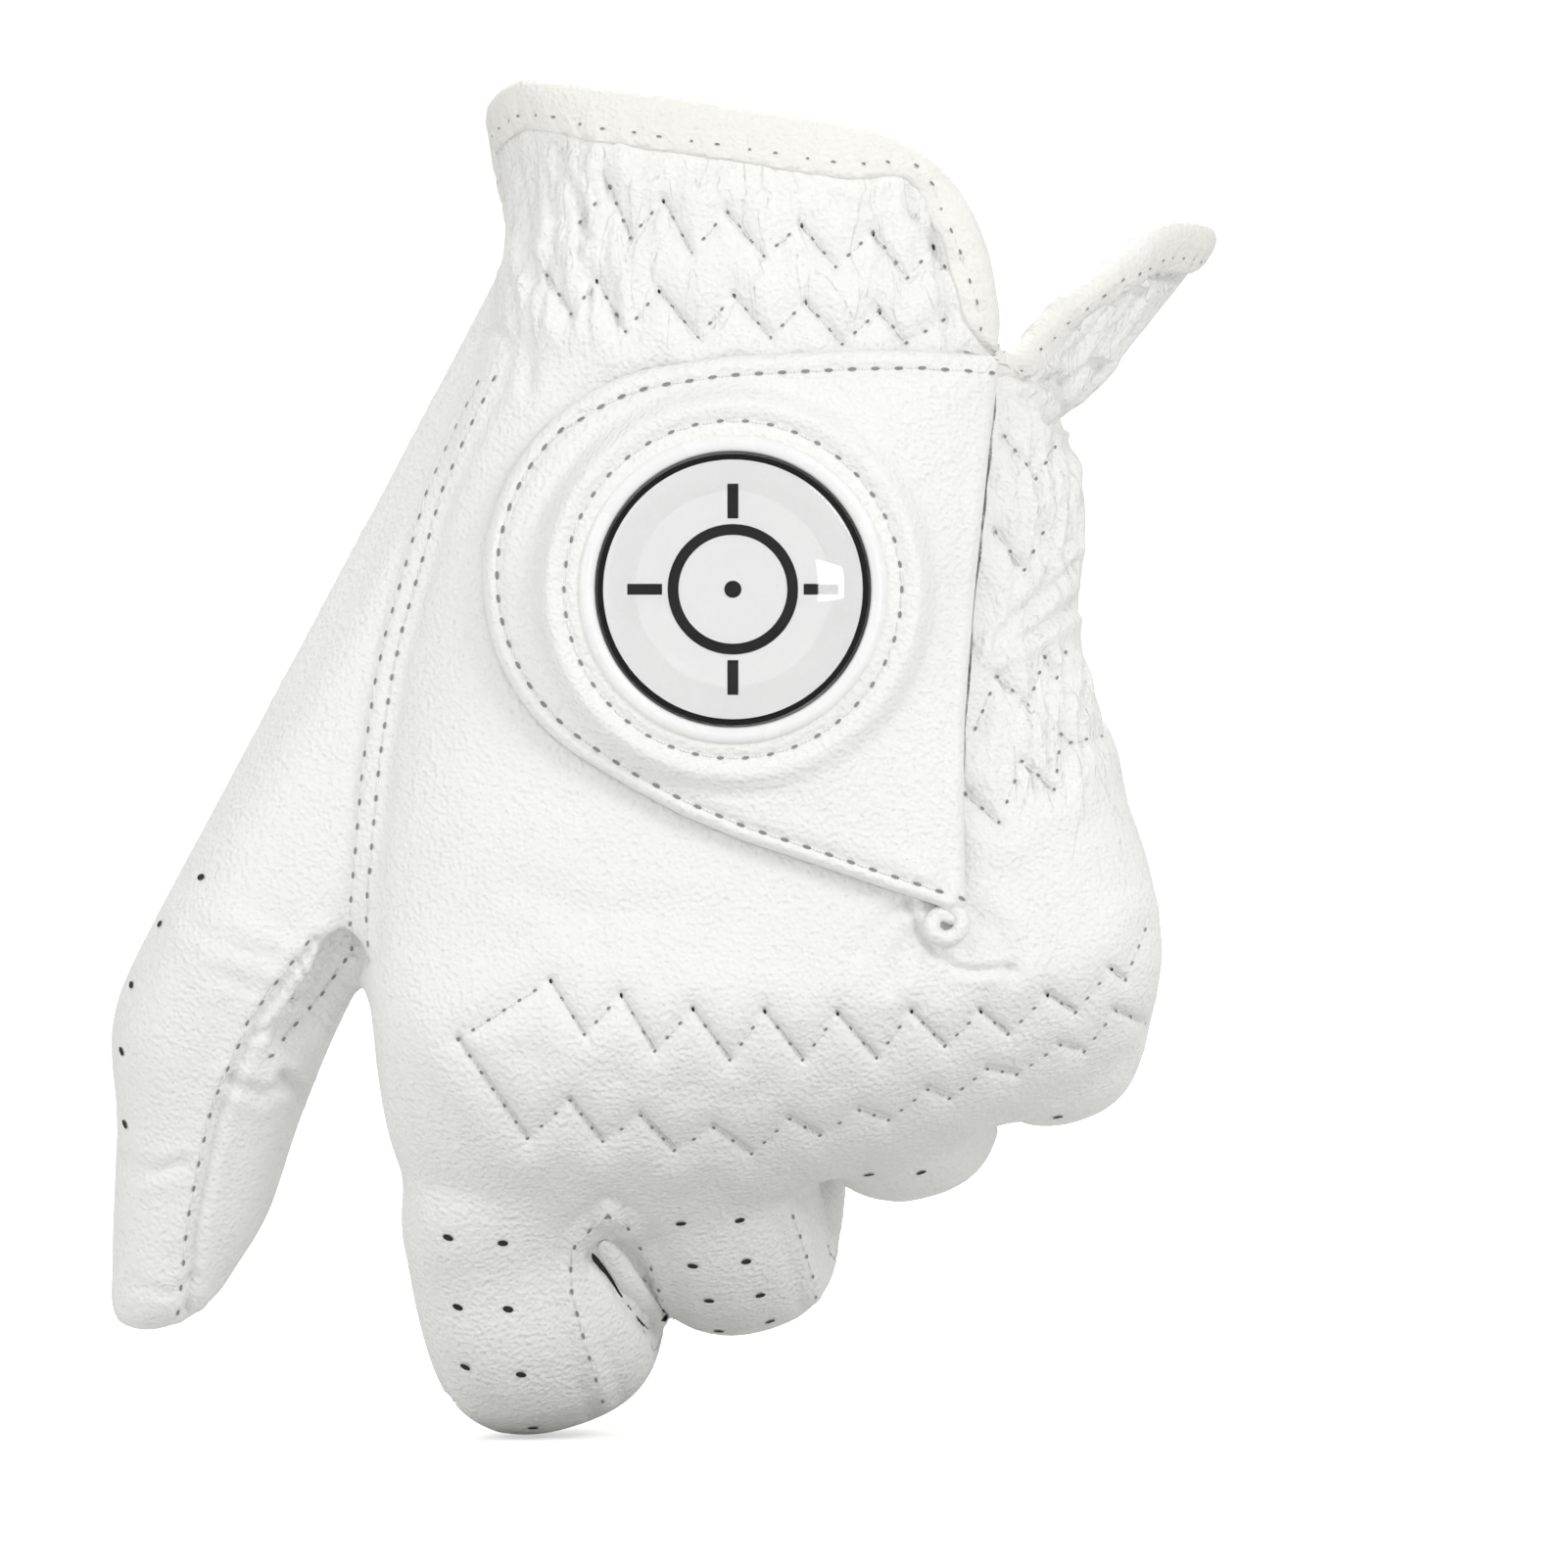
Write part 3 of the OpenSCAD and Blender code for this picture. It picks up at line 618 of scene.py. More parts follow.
def resample(points, step):
    points = np.array(points, float)
    at = np.concatenate([[0], np.cumsum(np.linalg.norm(np.diff(points, axis=0), axis=1))])
    w = np.linspace(0, at[-1], max(int(round(at[-1] / step)), 2) + 1)
    return np.stack([np.interp(w, at, points[:, k]) for k in range(3)], -1)


def evened(rows, times):
    """Each row of points drawn toward the rows beside it."""
    rows = rows.copy()
    for _ in range(times):
        rows[1:-1] = 0.25 * (rows[:-2] + 2 * rows[1:-1] + rows[2:])
    return rows


def surface_of(obj):
    return BVHTree.FromPolygons([tuple(v.co) for v in obj.data.vertices],
        [tuple(f.vertices) for f in obj.data.polygons])


def on_surface(tree, point):
    """The nearest point and outward normal of the leather."""
    at, n, _, _ = tree.find_nearest(Vector(point))
    return np.array(at), np.array(n)


def toward_viewer(tree, x, z):
    """Where the line of sight through (x, z) on the marker's plane meets the surface."""
    eye = LOOK_AT + np.array([0, -VIEW_DISTANCE, 0])
    d = unit(np.array([x, LOOK_AT[1], z]) - eye)
    at, n, _, _ = tree.ray_cast(Vector(eye), Vector(d))
    if at is None:
        return None
    total = np.array(n)
    for dx, dz in ((0.5, 0), (-0.5, 0), (0, 0.5), (0, -0.5)):
        beside = unit(np.array([x + dx, LOOK_AT[1], z + dz]) - eye)
        near, side_n, _, _ = tree.ray_cast(Vector(eye), Vector(beside))
        if near is not None and (near - at).length < 1.5:
            total += np.array(side_n)
    return np.array(at), unit(total)


def strip(name, rows):
    """A closed band through rows of points, each row a closed outline."""
    n, m = len(rows), len(rows[0])
    ends = [tuple(range(m))[::-1], tuple(range((n - 1) * m, n * m))]
    return outward(mesh_object(name, [p for r in rows for p in r], grid_faces(n, m, ring_across=True) + ends))


skin = surface_of(hand)
rim = np.array(edge_loops(hand)[0])
# The tape leaves out the part of the edge that the tab hides.
hidden = (rim[:, 1] < 0) & (rim[:, 2] < -9.6) & (rim[:, 0] > 14) & (rim[:, 0] < 25)
start = int(np.argmax(hidden))
rim, hidden = np.roll(rim, -start, axis=0), np.roll(hidden, -start)
first = int(np.argmin(hidden))
rim, hidden = rim[first:], hidden[first:]
rim = rim[:int(np.argmax(hidden))] if hidden.any() else rim
rim = resample(evened(rim, 6), 0.6)
tape_profile = [(4.2, -0.1), (4.15, 0.35), (3.6, 0.6), (2.6, 0.75), (1.2, 0.85), (0.2, 0.7), (-0.5, 0.1),
    (-0.65, -0.5), (-0.3, -1.2), (0.6, -1.6), (2.2, -1.6), (3.6, -1.4), (3.7, -0.9)]
TAPE_WIDTH, STITCH_PITCH, STITCH_INSET = 4.2, 2.7, 1.4
cuff_corner = np.array([16.6, 9.4])


def tape_share(p):
    """The tape's width at a rim point: wider on the back, narrower round the corner and on the slit's edge."""
    if p[1] > 4:
        return 1.0
    on_back = smooth((p[0] + 18) / 6) * smooth((14 - p[0]) / 4)
    at_corner = math.exp(-(np.hypot(p[0] - cuff_corner[0], p[2] - cuff_corner[1]) / 3.0) ** 2)
    on_slit = smooth((p[0] - 24) / 1.5) * smooth((37.0 - p[0]) / 2)
    return (1 + 0.2 * on_back) * (1 - 0.45 * at_corner) * (1 - 0.35 * on_slit)


inward = np.zeros_like(rim)
for i, (p, run) in enumerate(zip(rim, np.gradient(rim, axis=0))):
    _, n = on_surface(skin, p)
    way = unit(np.cross(n, unit(run)))
    miss = [np.linalg.norm(on_surface(skin, p + w * 1.5)[0] - (p + w * 1.5)) for w in (way, -way)]
    inward[i] = way if miss[0] < miss[1] else -way
inward = evened(inward, 8)
inward /= np.linalg.norm(inward, axis=1)[:, None]
inner_edge = evened(rim + inward * np.array([TAPE_WIDTH * tape_share(p) for p in rim])[:, None], 8)
rim_length = np.concatenate([[0], np.cumsum(np.linalg.norm(np.diff(rim, axis=0), axis=1))])
pinch = np.maximum(0, np.cos(2 * math.pi * rim_length / STITCH_PITCH)) ** 2
lying, upward = np.zeros((2, len(rim), len(tape_profile), 3))
for i, (p, inner) in enumerate(zip(rim, inner_edge)):
    for j, (b, h) in enumerate(tape_profile):
        lying[i, j], upward[i, j] = on_surface(skin, p + (inner - p) * max(b, 0.0) / TAPE_WIDTH)
lying, upward = evened(lying, 3), evened(upward, 6)
upward /= np.linalg.norm(upward, axis=2)[:, :, None]
for j, (b, h) in enumerate(tape_profile):
    near_stitches = h > 0 and 2 < b < 4.1
    height = h * (1 - 0.35 * pinch) if near_stitches else h * (1 + 0.05 * np.sin(rim_length))
    lying[:, j] += inward * min(b, 0.0) + upward[:, j] * height[:, None]
tape = strip("edge_tape", lying)


# ---------------------------------------------------------------- the closure tab
def lathe(name, profile, steps=96):
    """A turned piece on the marker's axis; the profile is (radius, height toward the viewer)."""
    verts = []
    for a in np.arange(steps) * 2 * math.pi / steps:
        verts += [MARKER + np.array([r * math.cos(a), -h, r * math.sin(a)]) for r, h in profile]
    obj = mesh_object(name, verts, grid_faces(steps, len(profile), ring_rows=True))
    with edited(obj) as bm:
        bmesh.ops.remove_doubles(bm, verts=bm.verts, dist=0.001)
        bmesh.ops.recalc_face_normals(bm, faces=bm.faces)
    return obj


# The tab's round end is an arc; the rest of its outline is points.
arc = [(-4.5 + 19.8 * math.cos(a), -29.5 + 19.8 * math.sin(a)) for a in np.radians(range(96, 237, 4))]
tab_outline = arc + [(-11, -48.7), (-6, -51.4), (-0.3, -53.8), (6.1, -55.9), (12.2, -58), (19.6, -60.4),
    (20.4, -60.2), (20.2, -50), (20.3, -43), (20.7, -37.5), (21.4, -29.3), (22.7, -16.8), (23.6, -9.6),
    (23.0, -8.9), (16.2, -8.4), (10.4, -8.5), (4, -8.8), (-2, -9.1)]
tab_outline = np.array(tab_outline)
ring_line = np.vstack([tab_outline, tab_outline[:1]])
centre = MARKER[[0, 2]]


def outline_radius(angle):
    """How far the tab's outline is from the marker's centre."""
    d = np.array([math.cos(angle), math.sin(angle)])
    best = 1e9
    for a, b in zip(ring_line[:-1], ring_line[1:]):
        m = np.array([d, -(b - a)]).T
        if abs(np.linalg.det(m)) < 1e-9:
            continue
        t, u = np.linalg.solve(m, a - centre)
        if t > 0 and -1e-6 <= u <= 1 + 1e-6:
            best = min(best, t)
    return best


def leather_heights(x, z, reach, blur):
    """How far forward the leather and its tape come: over a grid, the highest spot within reach, blurred."""
    tape_front = surface_of(tape)
    front_y = np.full((len(x), len(z)), -20.0)
    for i, xi in enumerate(x):
        for j, zj in enumerate(z):
            hits = [t.ray_cast(Vector((xi, -80, zj)), Vector((0, 1, 0)))[0] for t in (skin, tape_front)]
            hits = [at[1] for at in hits if at is not None]
            front_y[i, j] = min(hits) if hits else front_y[i, j - 1]
    for _ in range(reach):
        padded = np.pad(front_y, 1, mode="edge")
        near = [padded[a:a + len(x), b:b + len(z)] for a in range(3) for b in range(3)]
        front_y = np.min(near, axis=0)
    for _ in range(blur):
        padded = np.pad(front_y, 1, mode="edge")
        beside = padded[:-2, 1:-1] + padded[2:, 1:-1] + padded[1:-1, :-2] + padded[1:-1, 2:]
        front_y = (beside + 4 * front_y) / 8
    return front_y


def on_grid(values, x, z, at):
    """Bilinear values at (x, z) places."""
    u, v = (at[:, 0] - x[0]) / (x[1] - x[0]), (at[:, 1] - z[0]) / (z[1] - z[0])
    i, j = np.clip(u.astype(int), 0, len(x) - 2), np.clip(v.astype(int), 0, len(z) - 2)
    u, v = u - i, v - j
    return ((1 - u) * (1 - v) * values[i, j] + u * (1 - v) * values[i + 1, j]
        + (1 - u) * v * values[i, j + 1] + u * v * values[i + 1, j + 1])


# The tab is a ring of points from the hole for the marker out to the outline, closer together near the edge.
HOLE, SEAT_SEAM, SEAT_FLAT = 12.9, 15.55, 16.9
angles = np.linspace(0, 2 * math.pi, 260, endpoint=False)
corner_angles = [math.atan2(z - centre[1], x - centre[0]) % (2 * math.pi) for x, z in tab_outline if x > 18]
angles = np.sort(np.concatenate([angles, corner_angles]))
shares = np.concatenate([np.linspace(0, 0.5, 26), np.linspace(0.5, 0.9, 18)[1:], np.linspace(0.9, 1, 12)[1:]])
flatp = []
for a in angles:
    outer = outline_radius(a)
    radii = np.interp(shares, (0, 0.5, 1), (HOLE, min(20.0, outer - 1.5), outer))
    flatp += [(centre[0] + r * math.cos(a), centre[1] + r * math.sin(a)) for r in radii]
flatp = np.array(flatp)
edge_d = distance(flatp, ring_line)
r = np.hypot(*(flatp - centre).T)
# Its under side is a shallow cylinder that hugs the leather near the edges, least at the corners.
grid_x, grid_z = np.arange(-26, 26.1, 0.6), np.arange(-63, -6, 0.6)
slit_side = [p for p in tab_outline if p[0] > 20.1 and p[1] < -9.2]
other_sides = [tuple(p) for p in ring_line if not (p[0] > 20.15 and -60 < p[1] < -9.2)]
first_of_top = next(i for i, p in enumerate(other_sides) if p[0] > 22.9)
other_sides = other_sides[first_of_top:] + other_sides[1:first_of_top]
corner_d = sum(np.maximum(distance(flatp, side), 0.01) ** -2 for side in (slit_side, other_sides)) ** -0.5
sy = on_grid(leather_heights(grid_x, grid_z, 2, 10), grid_x, grid_z, flatp)
lean = math.atan((23.6 - 20.3) / 50.8)
u = (flatp[:, 0] - 3) * math.cos(lean) - (flatp[:, 1] + 34.6) * math.sin(lean)
cylinder = -27 + 90 - np.sqrt(90**2 - u**2) + (flatp[:, 1] + 34.6) * math.tan(math.radians(0.6))
hug = smooth(1 - corner_d / 9.0)
under = cylinder * (1 - hug) + (sy - 0.3) * hug
under = 0.5 * (under + sy - 0.15 - np.sqrt((under - sy + 0.15) ** 2 + 0.25))
under = under.reshape(len(angles), -1)
for _ in range(8):
    under = 0.5 * under + 0.25 * (np.roll(under, 1, 0) + np.roll(under, -1, 0))
    under[:, 1:-1] = 0.5 * under[:, 1:-1] + 0.25 * (under[:, :-2] + under[:, 2:])
under = under.reshape(-1)
# Its top rounds over at the edge, with the rolled hem, the stitched ring round the marker and a flat seat.
round_edge = np.sqrt(1 - (1 - np.clip(edge_d / 1.0, 0, 1)) ** 2)
top_y = under - 0.35 - 1.25 * round_edge
hinge_side = smooth((flatp[:, 0] - 17.5) / 2.5)
seam_in = np.where(flatp[:, 1] > -14, 1.9, np.where(flatp[:, 0] > -16, 1.35, 1.5))
top_y += 0.34 * bell(edge_d - seam_in, 0.45) * (1 - hinge_side * (flatp[:, 1] < -10))
top_y -= 0.16 * bell(edge_d - seam_in - 1.6, 1.2)
k = 1 - smooth((r - SEAT_FLAT) / 2.3)
top_y = MARKER[1] * k + top_y * (1 - k)
top_y += 0.42 * bell(r - SEAT_SEAM, 0.5) - 0.12 * bell(r - 17.2, 0.8)


def thick_ring(name, top, under, across):
    """A sheet with thickness round a hole: rows of points from the hole outward, one for each angle."""
    n = len(top)
    faces = []
    for f in grid_faces(n // across, across, ring_rows=True):
        faces += [f, tuple(v + n for v in f[::-1])]
    for i in range(0, n, across):
        k = (i + across) % n
        a, b = i + across - 1, k + across - 1
        faces += [(a, n + a, n + b, b), (i, k, n + k, n + i)]
    return outward(mesh_object(name, [*top, *under], faces))


tab_top, tab_under = (np.stack([flatp[:, 0], y, flatp[:, 1]], -1) for y in (top_y, under))
tab = thick_ring("tab_panel", tab_top, tab_under, len(shares))
is_lining = [1 if min(f.vertices) >= len(flatp) else 0 for f in tab.data.polygons]
tab.data.polygons.foreach_set("material_index", is_lining)
under_tree = BVHTree.FromPolygons(tab_under.tolist(), grid_faces(len(angles), len(shares), ring_rows=True))
tab_tree = surface_of(tab)

seat = lathe("marker_seat_cup", [(0, -1.72), (12.7, -1.72), (12.7, 0.1), (12.78, 0.32), (12.95, 0.45),
    (13.5, 0.55), (13.95, 0.45), (14.2, 0.2), (14.25, -0.2), (14.25, -2.6), (0, -2.6)])
disc = lathe("marker_body", [(0, -0.7), (12.35, -0.7), (12.46, -0.6), (12.46, 0.25), (12.35, 0.38),
    (11.8, 0.4), (0, 0.4)])
face = lathe("marker_print", [(0, 0.43), (11.9, 0.43), (11.9, 0.40)])
DOME, DOME_RISE = 12.0, 0.8
dome_arc = [(DOME * math.cos(a), 0.5 + DOME_RISE * math.sin(a)) for a in np.radians(np.arange(4, 89, 5))]
dome = lathe("marker_resin", [(0, 0.46), (11.96, 0.42), (DOME, 0.5), *dome_arc, (0, 1.3)])


def round_points(radius, degrees):
    return [(radius * math.cos(a), radius * math.sin(a)) for a in np.radians(degrees)]


def flat_shape(name, parts, height, thick=0.03):
    """Flat shapes lying on the marker's face, each a list of (x, z) round the marker's centre."""
    verts, faces = [], []
    for outer in parts:
        n, base = len(outer), len(verts)
        for h in (height + thick, height):
            verts += [(MARKER[0] + x, MARKER[1] - h, MARKER[2] + z) for x, z in outer]
        faces.append(tuple(range(base, base + n)))
        faces += [(base + i, base + n + i, base + n + (i + 1) % n, base + (i + 1) % n) for i in range(n)]
    return mesh_object(name, verts, faces)


parts = [round_points(5, (a,)) + round_points(6, (a, a + 7.5)) + round_points(5, (a + 7.5,))
    for a in np.arange(0, 360, 7.5)]
bar = ((6.5, -0.5), (9.7, -0.5), (9.7, 0.5), (6.5, 0.5))
for a in np.radians((0, 90, 180, 270)):
    parts.append([(x * math.cos(a) - z * math.sin(a), x * math.sin(a) + z * math.cos(a)) for x, z in bar])
parts.append(round_points(0.8, range(0, 360, 20)))
emblem = flat_shape("marker_cross_hair", parts, 0.435)


# ---------------------------------------------------------------- threads and holes
# Place along the thread, -1 to 1, and share of the radius.
thread_shape = [(-1, 0), (-0.92, 0.5), (-0.6, 0.9), (0, 1), (0.6, 0.9), (0.92, 0.5), (1, 0)]
thread_faces = grid_faces(len(thread_shape), 6, ring_across=True)


class Stitches:
    def __init__(self, name):
        self.name = name
        self.verts, self.faces, self.hole_verts, self.hole_faces = [], [], [], []

    def thread(self, a, b, n, radius=0.14, sink=0.05):
        a, b, n = np.array(a), np.array(b), unit(n)
        mid, half = (a + b) / 2, (b - a) / 2
        side = unit(np.cross(half, n)) * radius
        base = len(self.verts)
        for t, share in thread_shape:
            for w in np.radians(range(0, 360, 60)):
                rise = radius * (share * math.sin(w) - sink) - 0.18 * t * t
                self.verts.append(mid + half * t + side * share * math.cos(w) + n * rise)
        self.faces += [tuple(base + v for v in f) for f in thread_faces]

    def hole(self, at, n, radius, ratio, long, above=0.1):
        """A shallow cone on the skin, longer by ratio along the direction long; its dark colour is painted
        shade in the hole.
        """
        at, n = np.array(at), unit(n)
        along = unit(long)
        along = unit(along - np.dot(along, n) * n)
        beside = np.cross(n, along)
        base = len(self.hole_verts)
        self.hole_verts.append(at + n * (above - 0.03))
        for w in np.radians(range(0, 360, 45)):
            out = (along * ratio * math.cos(w) + beside * math.sin(w)) * radius
            self.hole_verts.append(at + n * above + out)
        self.hole_faces += [(base, base + 1 + k, base + 1 + (k + 1) % 8) for k in range(8)]

    def build(self):
        made = (("thread", self.verts, self.faces), ("holes", self.hole_verts, self.hole_faces))
        return [mesh_object(self.name + "_" + kind, verts, faces) for kind, verts, faces in made if verts]


def sew(stitches, tree, line, pitch, each_leg=False, radius=0.12, hole=0.16, ratio=2.2):
    """Stitches along a line of (x, z), as seen from the viewer, laid on a surface."""
    line = np.array(line, float)
    if each_leg:
        points = []
        for a, b in zip(line[:-1], line[1:]):
            n = max(int(round(np.hypot(*(b - a)) / pitch)), 1)
            points += [a + (b - a) * i / n for i in range(n)]
        points.append(line[-1])
    else:
        at = np.concatenate([[0], np.cumsum(np.hypot(*np.diff(line, axis=0).T))])
        n = max(int(round(at[-1] / pitch)), 1)
        points = [[np.interp(w, at, line[:, k]) for k in (0, 1)] for w in np.arange(n + 1) * at[-1] / n]
    stitch_through(stitches, [toward_viewer(tree, *point) for point in points], pitch, radius, hole, ratio)


def stitch_through(stitches, hits, pitch, radius, hole, ratio):
    """Threads between neighbouring (point, normal) pairs, and a needle hole at each."""
    for h0, h1 in zip(hits[:-1], hits[1:]):
        if h0 is None or h1 is None or np.linalg.norm(h0[0] - h1[0]) > 3 * pitch:
            continue
        n = unit(h0[1] + h1[1])
        run = h1[0] - h0[0]
        stitches.thread(h0[0] + run * 0.14 + n * 0.05, h0[0] + run * 0.86 + n * 0.05, n, radius)
    for i, hit in enumerate(hits):
        other = next((hits[k] for k in (i + 1, i - 1) if 0 <= k < len(hits) and hits[k] is not None), None)
        if hit is not None and other is not None:
            stitches.hole(hit[0], hit[1], hole, ratio, other[0] - hit[0])


glove_sewing, tab_sewing, thumb_sewing = Stitches("glove"), Stitches("tab"), Stitches("thumb")
finger_sewing = {name: Stitches(name) for name in fingers}
eye_way = unit(LOOK_AT + np.array([0, -VIEW_DISTANCE, 0]))
hidden_seams = [(glove_sewing, [palm_seam])] + [(finger_sewing[name], finger_seams[name]) for name in fingers]
for stitches, lines in hidden_seams:
    for line in lines:
        hits = [on_surface(skin, at) for at in resample(line, 2.3)]
        stitch_through(stitches, [h if h[1] @ eye_way < 0.2 else None for h in hits], 2.3, 0.12, 0.15, 2.0)
for line in wrist_rows + knuckle_rows + heel_rows:
    sew(glove_sewing, skin, line, 1.75, each_leg=True, hole=0.15, ratio=1.5)
for side in (-0.75, 0.75):
    shifted = [(x + side, z + 0.25 * side) for x, z in side_seam[1:]]
    sew(glove_sewing, skin, shifted, 2.2)
sew(thumb_sewing, skin, [(x - 0.9, z - 0.2) for x, z in thumb_seam], 2.3)
sew(thumb_sewing, skin, [(-36.8, -64.8), (-39, -68), (-41.8, -71.2), (-43.6, -73.6)], 2.0)
sew(finger_sewing["index"], skin, [(x - 0.2, z) for x, z in index_welt], 2.1)
for line in (middle_welt, ring_welt):
    sew(finger_sewing["middle"], skin, line, 2.1)


def inset(line, amounts):
    """A closed outline moved inward, by its own normals."""
    p = np.array(line, float)
    t = np.roll(p, -1, 0) - np.roll(p, 1, 0)
    t /= np.hypot(*t.T)[:, None]
    area = 0.5 * np.sum(p[:, 0] * np.roll(p[:, 1], -1) - np.roll(p[:, 0], -1) * p[:, 1])
    n = np.stack([-t[:, 1], t[:, 0]], -1) * (1 if area > 0 else -1)
    return p + n * np.array(amounts)[:, None]


border = inset(tab_outline, [1.9 if z > -14 else (1.3 if z < -46 else 1.5) for x, z in tab_outline])
start = next(i for i, (x, z) in enumerate(tab_outline) if x > 22.9 and z > -9.2)
order = list(range(start, len(border))) + list(range(0, start))
border = [border[i] for i in order if not (tab_outline[i][0] > 20.1 and tab_outline[i][1] < -9.2)]
sew(tab_sewing, tab_tree, border, 2.15, hole=0.18, ratio=2.4)
sew(tab_sewing, tab_tree, centre + np.array(round_points(SEAT_SEAM, np.linspace(0, 360, 97))), 2.3)
tape_tree = surface_of(tape)
tape_stitches = []
for w in np.arange(STITCH_PITCH, rim_length[-1] - 1, STITCH_PITCH):
    i = int(np.searchsorted(rim_length, w))
    under = inner_edge[i] - inward[i] * STITCH_INSET
    _, n = on_surface(skin, under)
    top, _, _, _ = tape_tree.ray_cast(Vector(under + n * 3), Vector(-n))
    if top is not None:
        tape_stitches.append((np.array(top), n, unit(rim[min(i + 1, len(rim) - 1)] - rim[i - 1])))
for (a, n, run), (b, _, _) in zip(tape_stitches, tape_stitches[1:]):
    if np.linalg.norm(b - a) < 2 * STITCH_PITCH:
        glove_sewing.thread(a + (b - a) * 0.1, b - (b - a) * 0.1, n, 0.12)
for at, n, run in tape_stitches:
    glove_sewing.hole(at, n, 0.13, 2.2, run, 0.06)
vents = {name: Stitches(name + "_vents") for name in ("thumb", "index", "middle", "ring", "glove")}
# The elastic pulls each upper point of a zigzag into an upright slot, drawn as a near-black mark: painted
# shade in the slot.
for line in wrist_rows + knuckle_rows[:1]:
    for before, peak, after in zip(line, line[1:], line[2:]):
        hit = toward_viewer(skin, peak[0], peak[1] - 0.1)
        if peak[1] > max(before[1], after[1]) and hit is not None:
            vents["glove"].hole(hit[0], hit[1], 0.12, 2.8, [0.1, 0, -1], 0.12)
# Each perforation is a near-black disc: painted shade inside the hole.
for x, z in perforations:
    hit = toward_viewer(skin, x, z)
    if hit is not None:
        digit = "thumb" if x < -40 else "index" if x < -15 else "middle" if x < 8 else "ring"
        vents[digit].hole(hit[0], hit[1], 0.34, 1.6, [1, 0, -0.35], 0.12)


# ---------------------------------------------------------------- one piece for each body
P, N = coords(hand), normals(hand)
faces = [tuple(f.vertices) for f in hand.data.polygons]
mid = np.array([P[list(f)].mean(axis=0) for f in faces])
bend_dir = unit([0.1, 0.93, -0.35])
beyond = (mid - web[0]) @ bend_dir
BEND_START, BEND_END = -3.5, 7.5
thumb_dir = unit(np.array(thumb_sections[1][0], float) - np.array(thumb_sections[0][0], float))
thumb_at = np.array(thumb_sections[0][0], float)
thumb_beyond = (mid - thumb_at) @ thumb_dir
spread = []
for place, joint, last_joint, tip, widths in fingers.values():
    knots = [web[0] + web[1] * place, joint, last_joint, tip]
    centre_line = np.array([spline(knots, v) for v in np.arange(0, 3.01, 0.25)])
    spread.append(near_line(mid, centre_line) / widths[1])
nearest = np.argmin(spread, axis=0)
# 0 is the glove, then the fingers in order, and 5 is the thumb.
label = np.zeros(len(faces), int)
finger_zone = (beyond > BEND_START) & (mid[:, 0] > -35) & (mid[:, 2] < -34)
label[finger_zone] = 1 + nearest[finger_zone]
label[(thumb_beyond > -1) & (mid[:, 0] < -35.3) & (mid[:, 2] < -52)] = 5


def shell(name, picked, thickness=LEATHER, offset=0.0, keep_normals=True):
    """A closed sheet made from some faces of the hand; its outer face is moved inward by offset."""
    used = sorted({v for f in picked for v in f})
    at = {v: i for i, v in enumerate(used)}
    n = len(used)
    outer = P[used] - N[used] * offset
    inner = P[used] - N[used] * (offset + thickness)
    out_faces = [tuple(at[v] for v in f) for f in picked]
    sides = {}
    for f in out_faces:
        for a, b in zip(f, f[1:] + f[:1]):
            sides[(a, b)] = sides.get((a, b), 0) + 1
    rim_faces = [(b, a, a + n, b + n) for (a, b) in sides if (b, a) not in sides]
    all_faces = out_faces + [tuple(v + n for v in f[::-1]) for f in out_faces] + rim_faces
    mesh = bpy.data.meshes.new(name)
    mesh.from_pydata([tuple(v) for v in np.vstack([outer, inner])], [], all_faces)
    mesh.polygons.foreach_set("use_smooth", [True] * len(all_faces))
    lining = len(all_faces) - len(out_faces)
    mesh.polygons.foreach_set("material_index", [0] * len(out_faces) + [1] * lining)
    mesh.update()
    if keep_normals:
        mesh.normals_split_custom_set_from_vertices([tuple(v) for v in np.vstack([N[used], -N[used]])])
    obj = bpy.data.objects.new(name, mesh)
    bpy.context.scene.collection.objects.link(obj)
    return obj


shells = []
for k, piece_name in enumerate(["hand_leather"] + [f + "_leather" for f in fingers] + ["thumb_leather"]):
    shells.append(shell(piece_name, [f for f, l in zip(faces, label) if l == k]))
bpy.data.objects.remove(hand)


# ---------------------------------------------------------------- patches, elastic and the slit's end
ELASTIC, ELASTIC_GAP = 0.8, 0.15
on_back = np.array([np.mean(N[list(f), 1]) for f in faces]) < -0.2


def patch(name, wanted, thickness=ELASTIC, offset=LEATHER + ELASTIC_GAP):
    """A sheet over or under the faces of the glove's body that are wanted."""
    return shell(name, [f for f, w, l in zip(faces, wanted, label) if w and l == 0], thickness, offset, False)


x, y, z = mid.T
loop_patch = patch("loop_patch_fleece", on_back & (-15 < x) & (x < 14) & (-44 < z) & (z < -17), 0.3, -0.32)
wrist_band = patch("wrist_elastic_band", on_back & (abs(x) < 20) & (-8 < z) & (z < 4))
knuckle_band = patch("knuckle_elastic_band", on_back & (abs(x - 3) < 30) & (-81 < z) & (z < -67))
heel_band = patch("heel_elastic_band", (x > 25.5) & (-12 < y) & (y < 1) & (-47 < z) & (z < -15))

HOOK_ACROSS, HOOK_THICK = 5, 0.4
hook_points = []
for a in np.radians(np.arange(0, 360, 4)):
    d = np.array([math.cos(a), math.sin(a)])
    reach = min(18.5 / max(abs(d[0]), 1e-6), 14.5 / max(abs(d[1]), 1e-6), outline_radius(a) - 3.2)
    hook_points += [centre + d * radius for radius in np.linspace(13.5, reach, HOOK_ACROSS)]
hook_top, hook_under = [], []
for x, z in hook_points:
    at, _, _, _ = under_tree.ray_cast(Vector((x, -80, z)), Vector((0, 1, 0)))
    y = at[1] if at is not None else -27
    hook_top.append((x, y + 0.02, z))
    hook_under.append((x, y + HOOK_THICK, z))
hook_patch = thick_ring("hook_patch_sheet", hook_top, hook_under, HOOK_ACROSS)

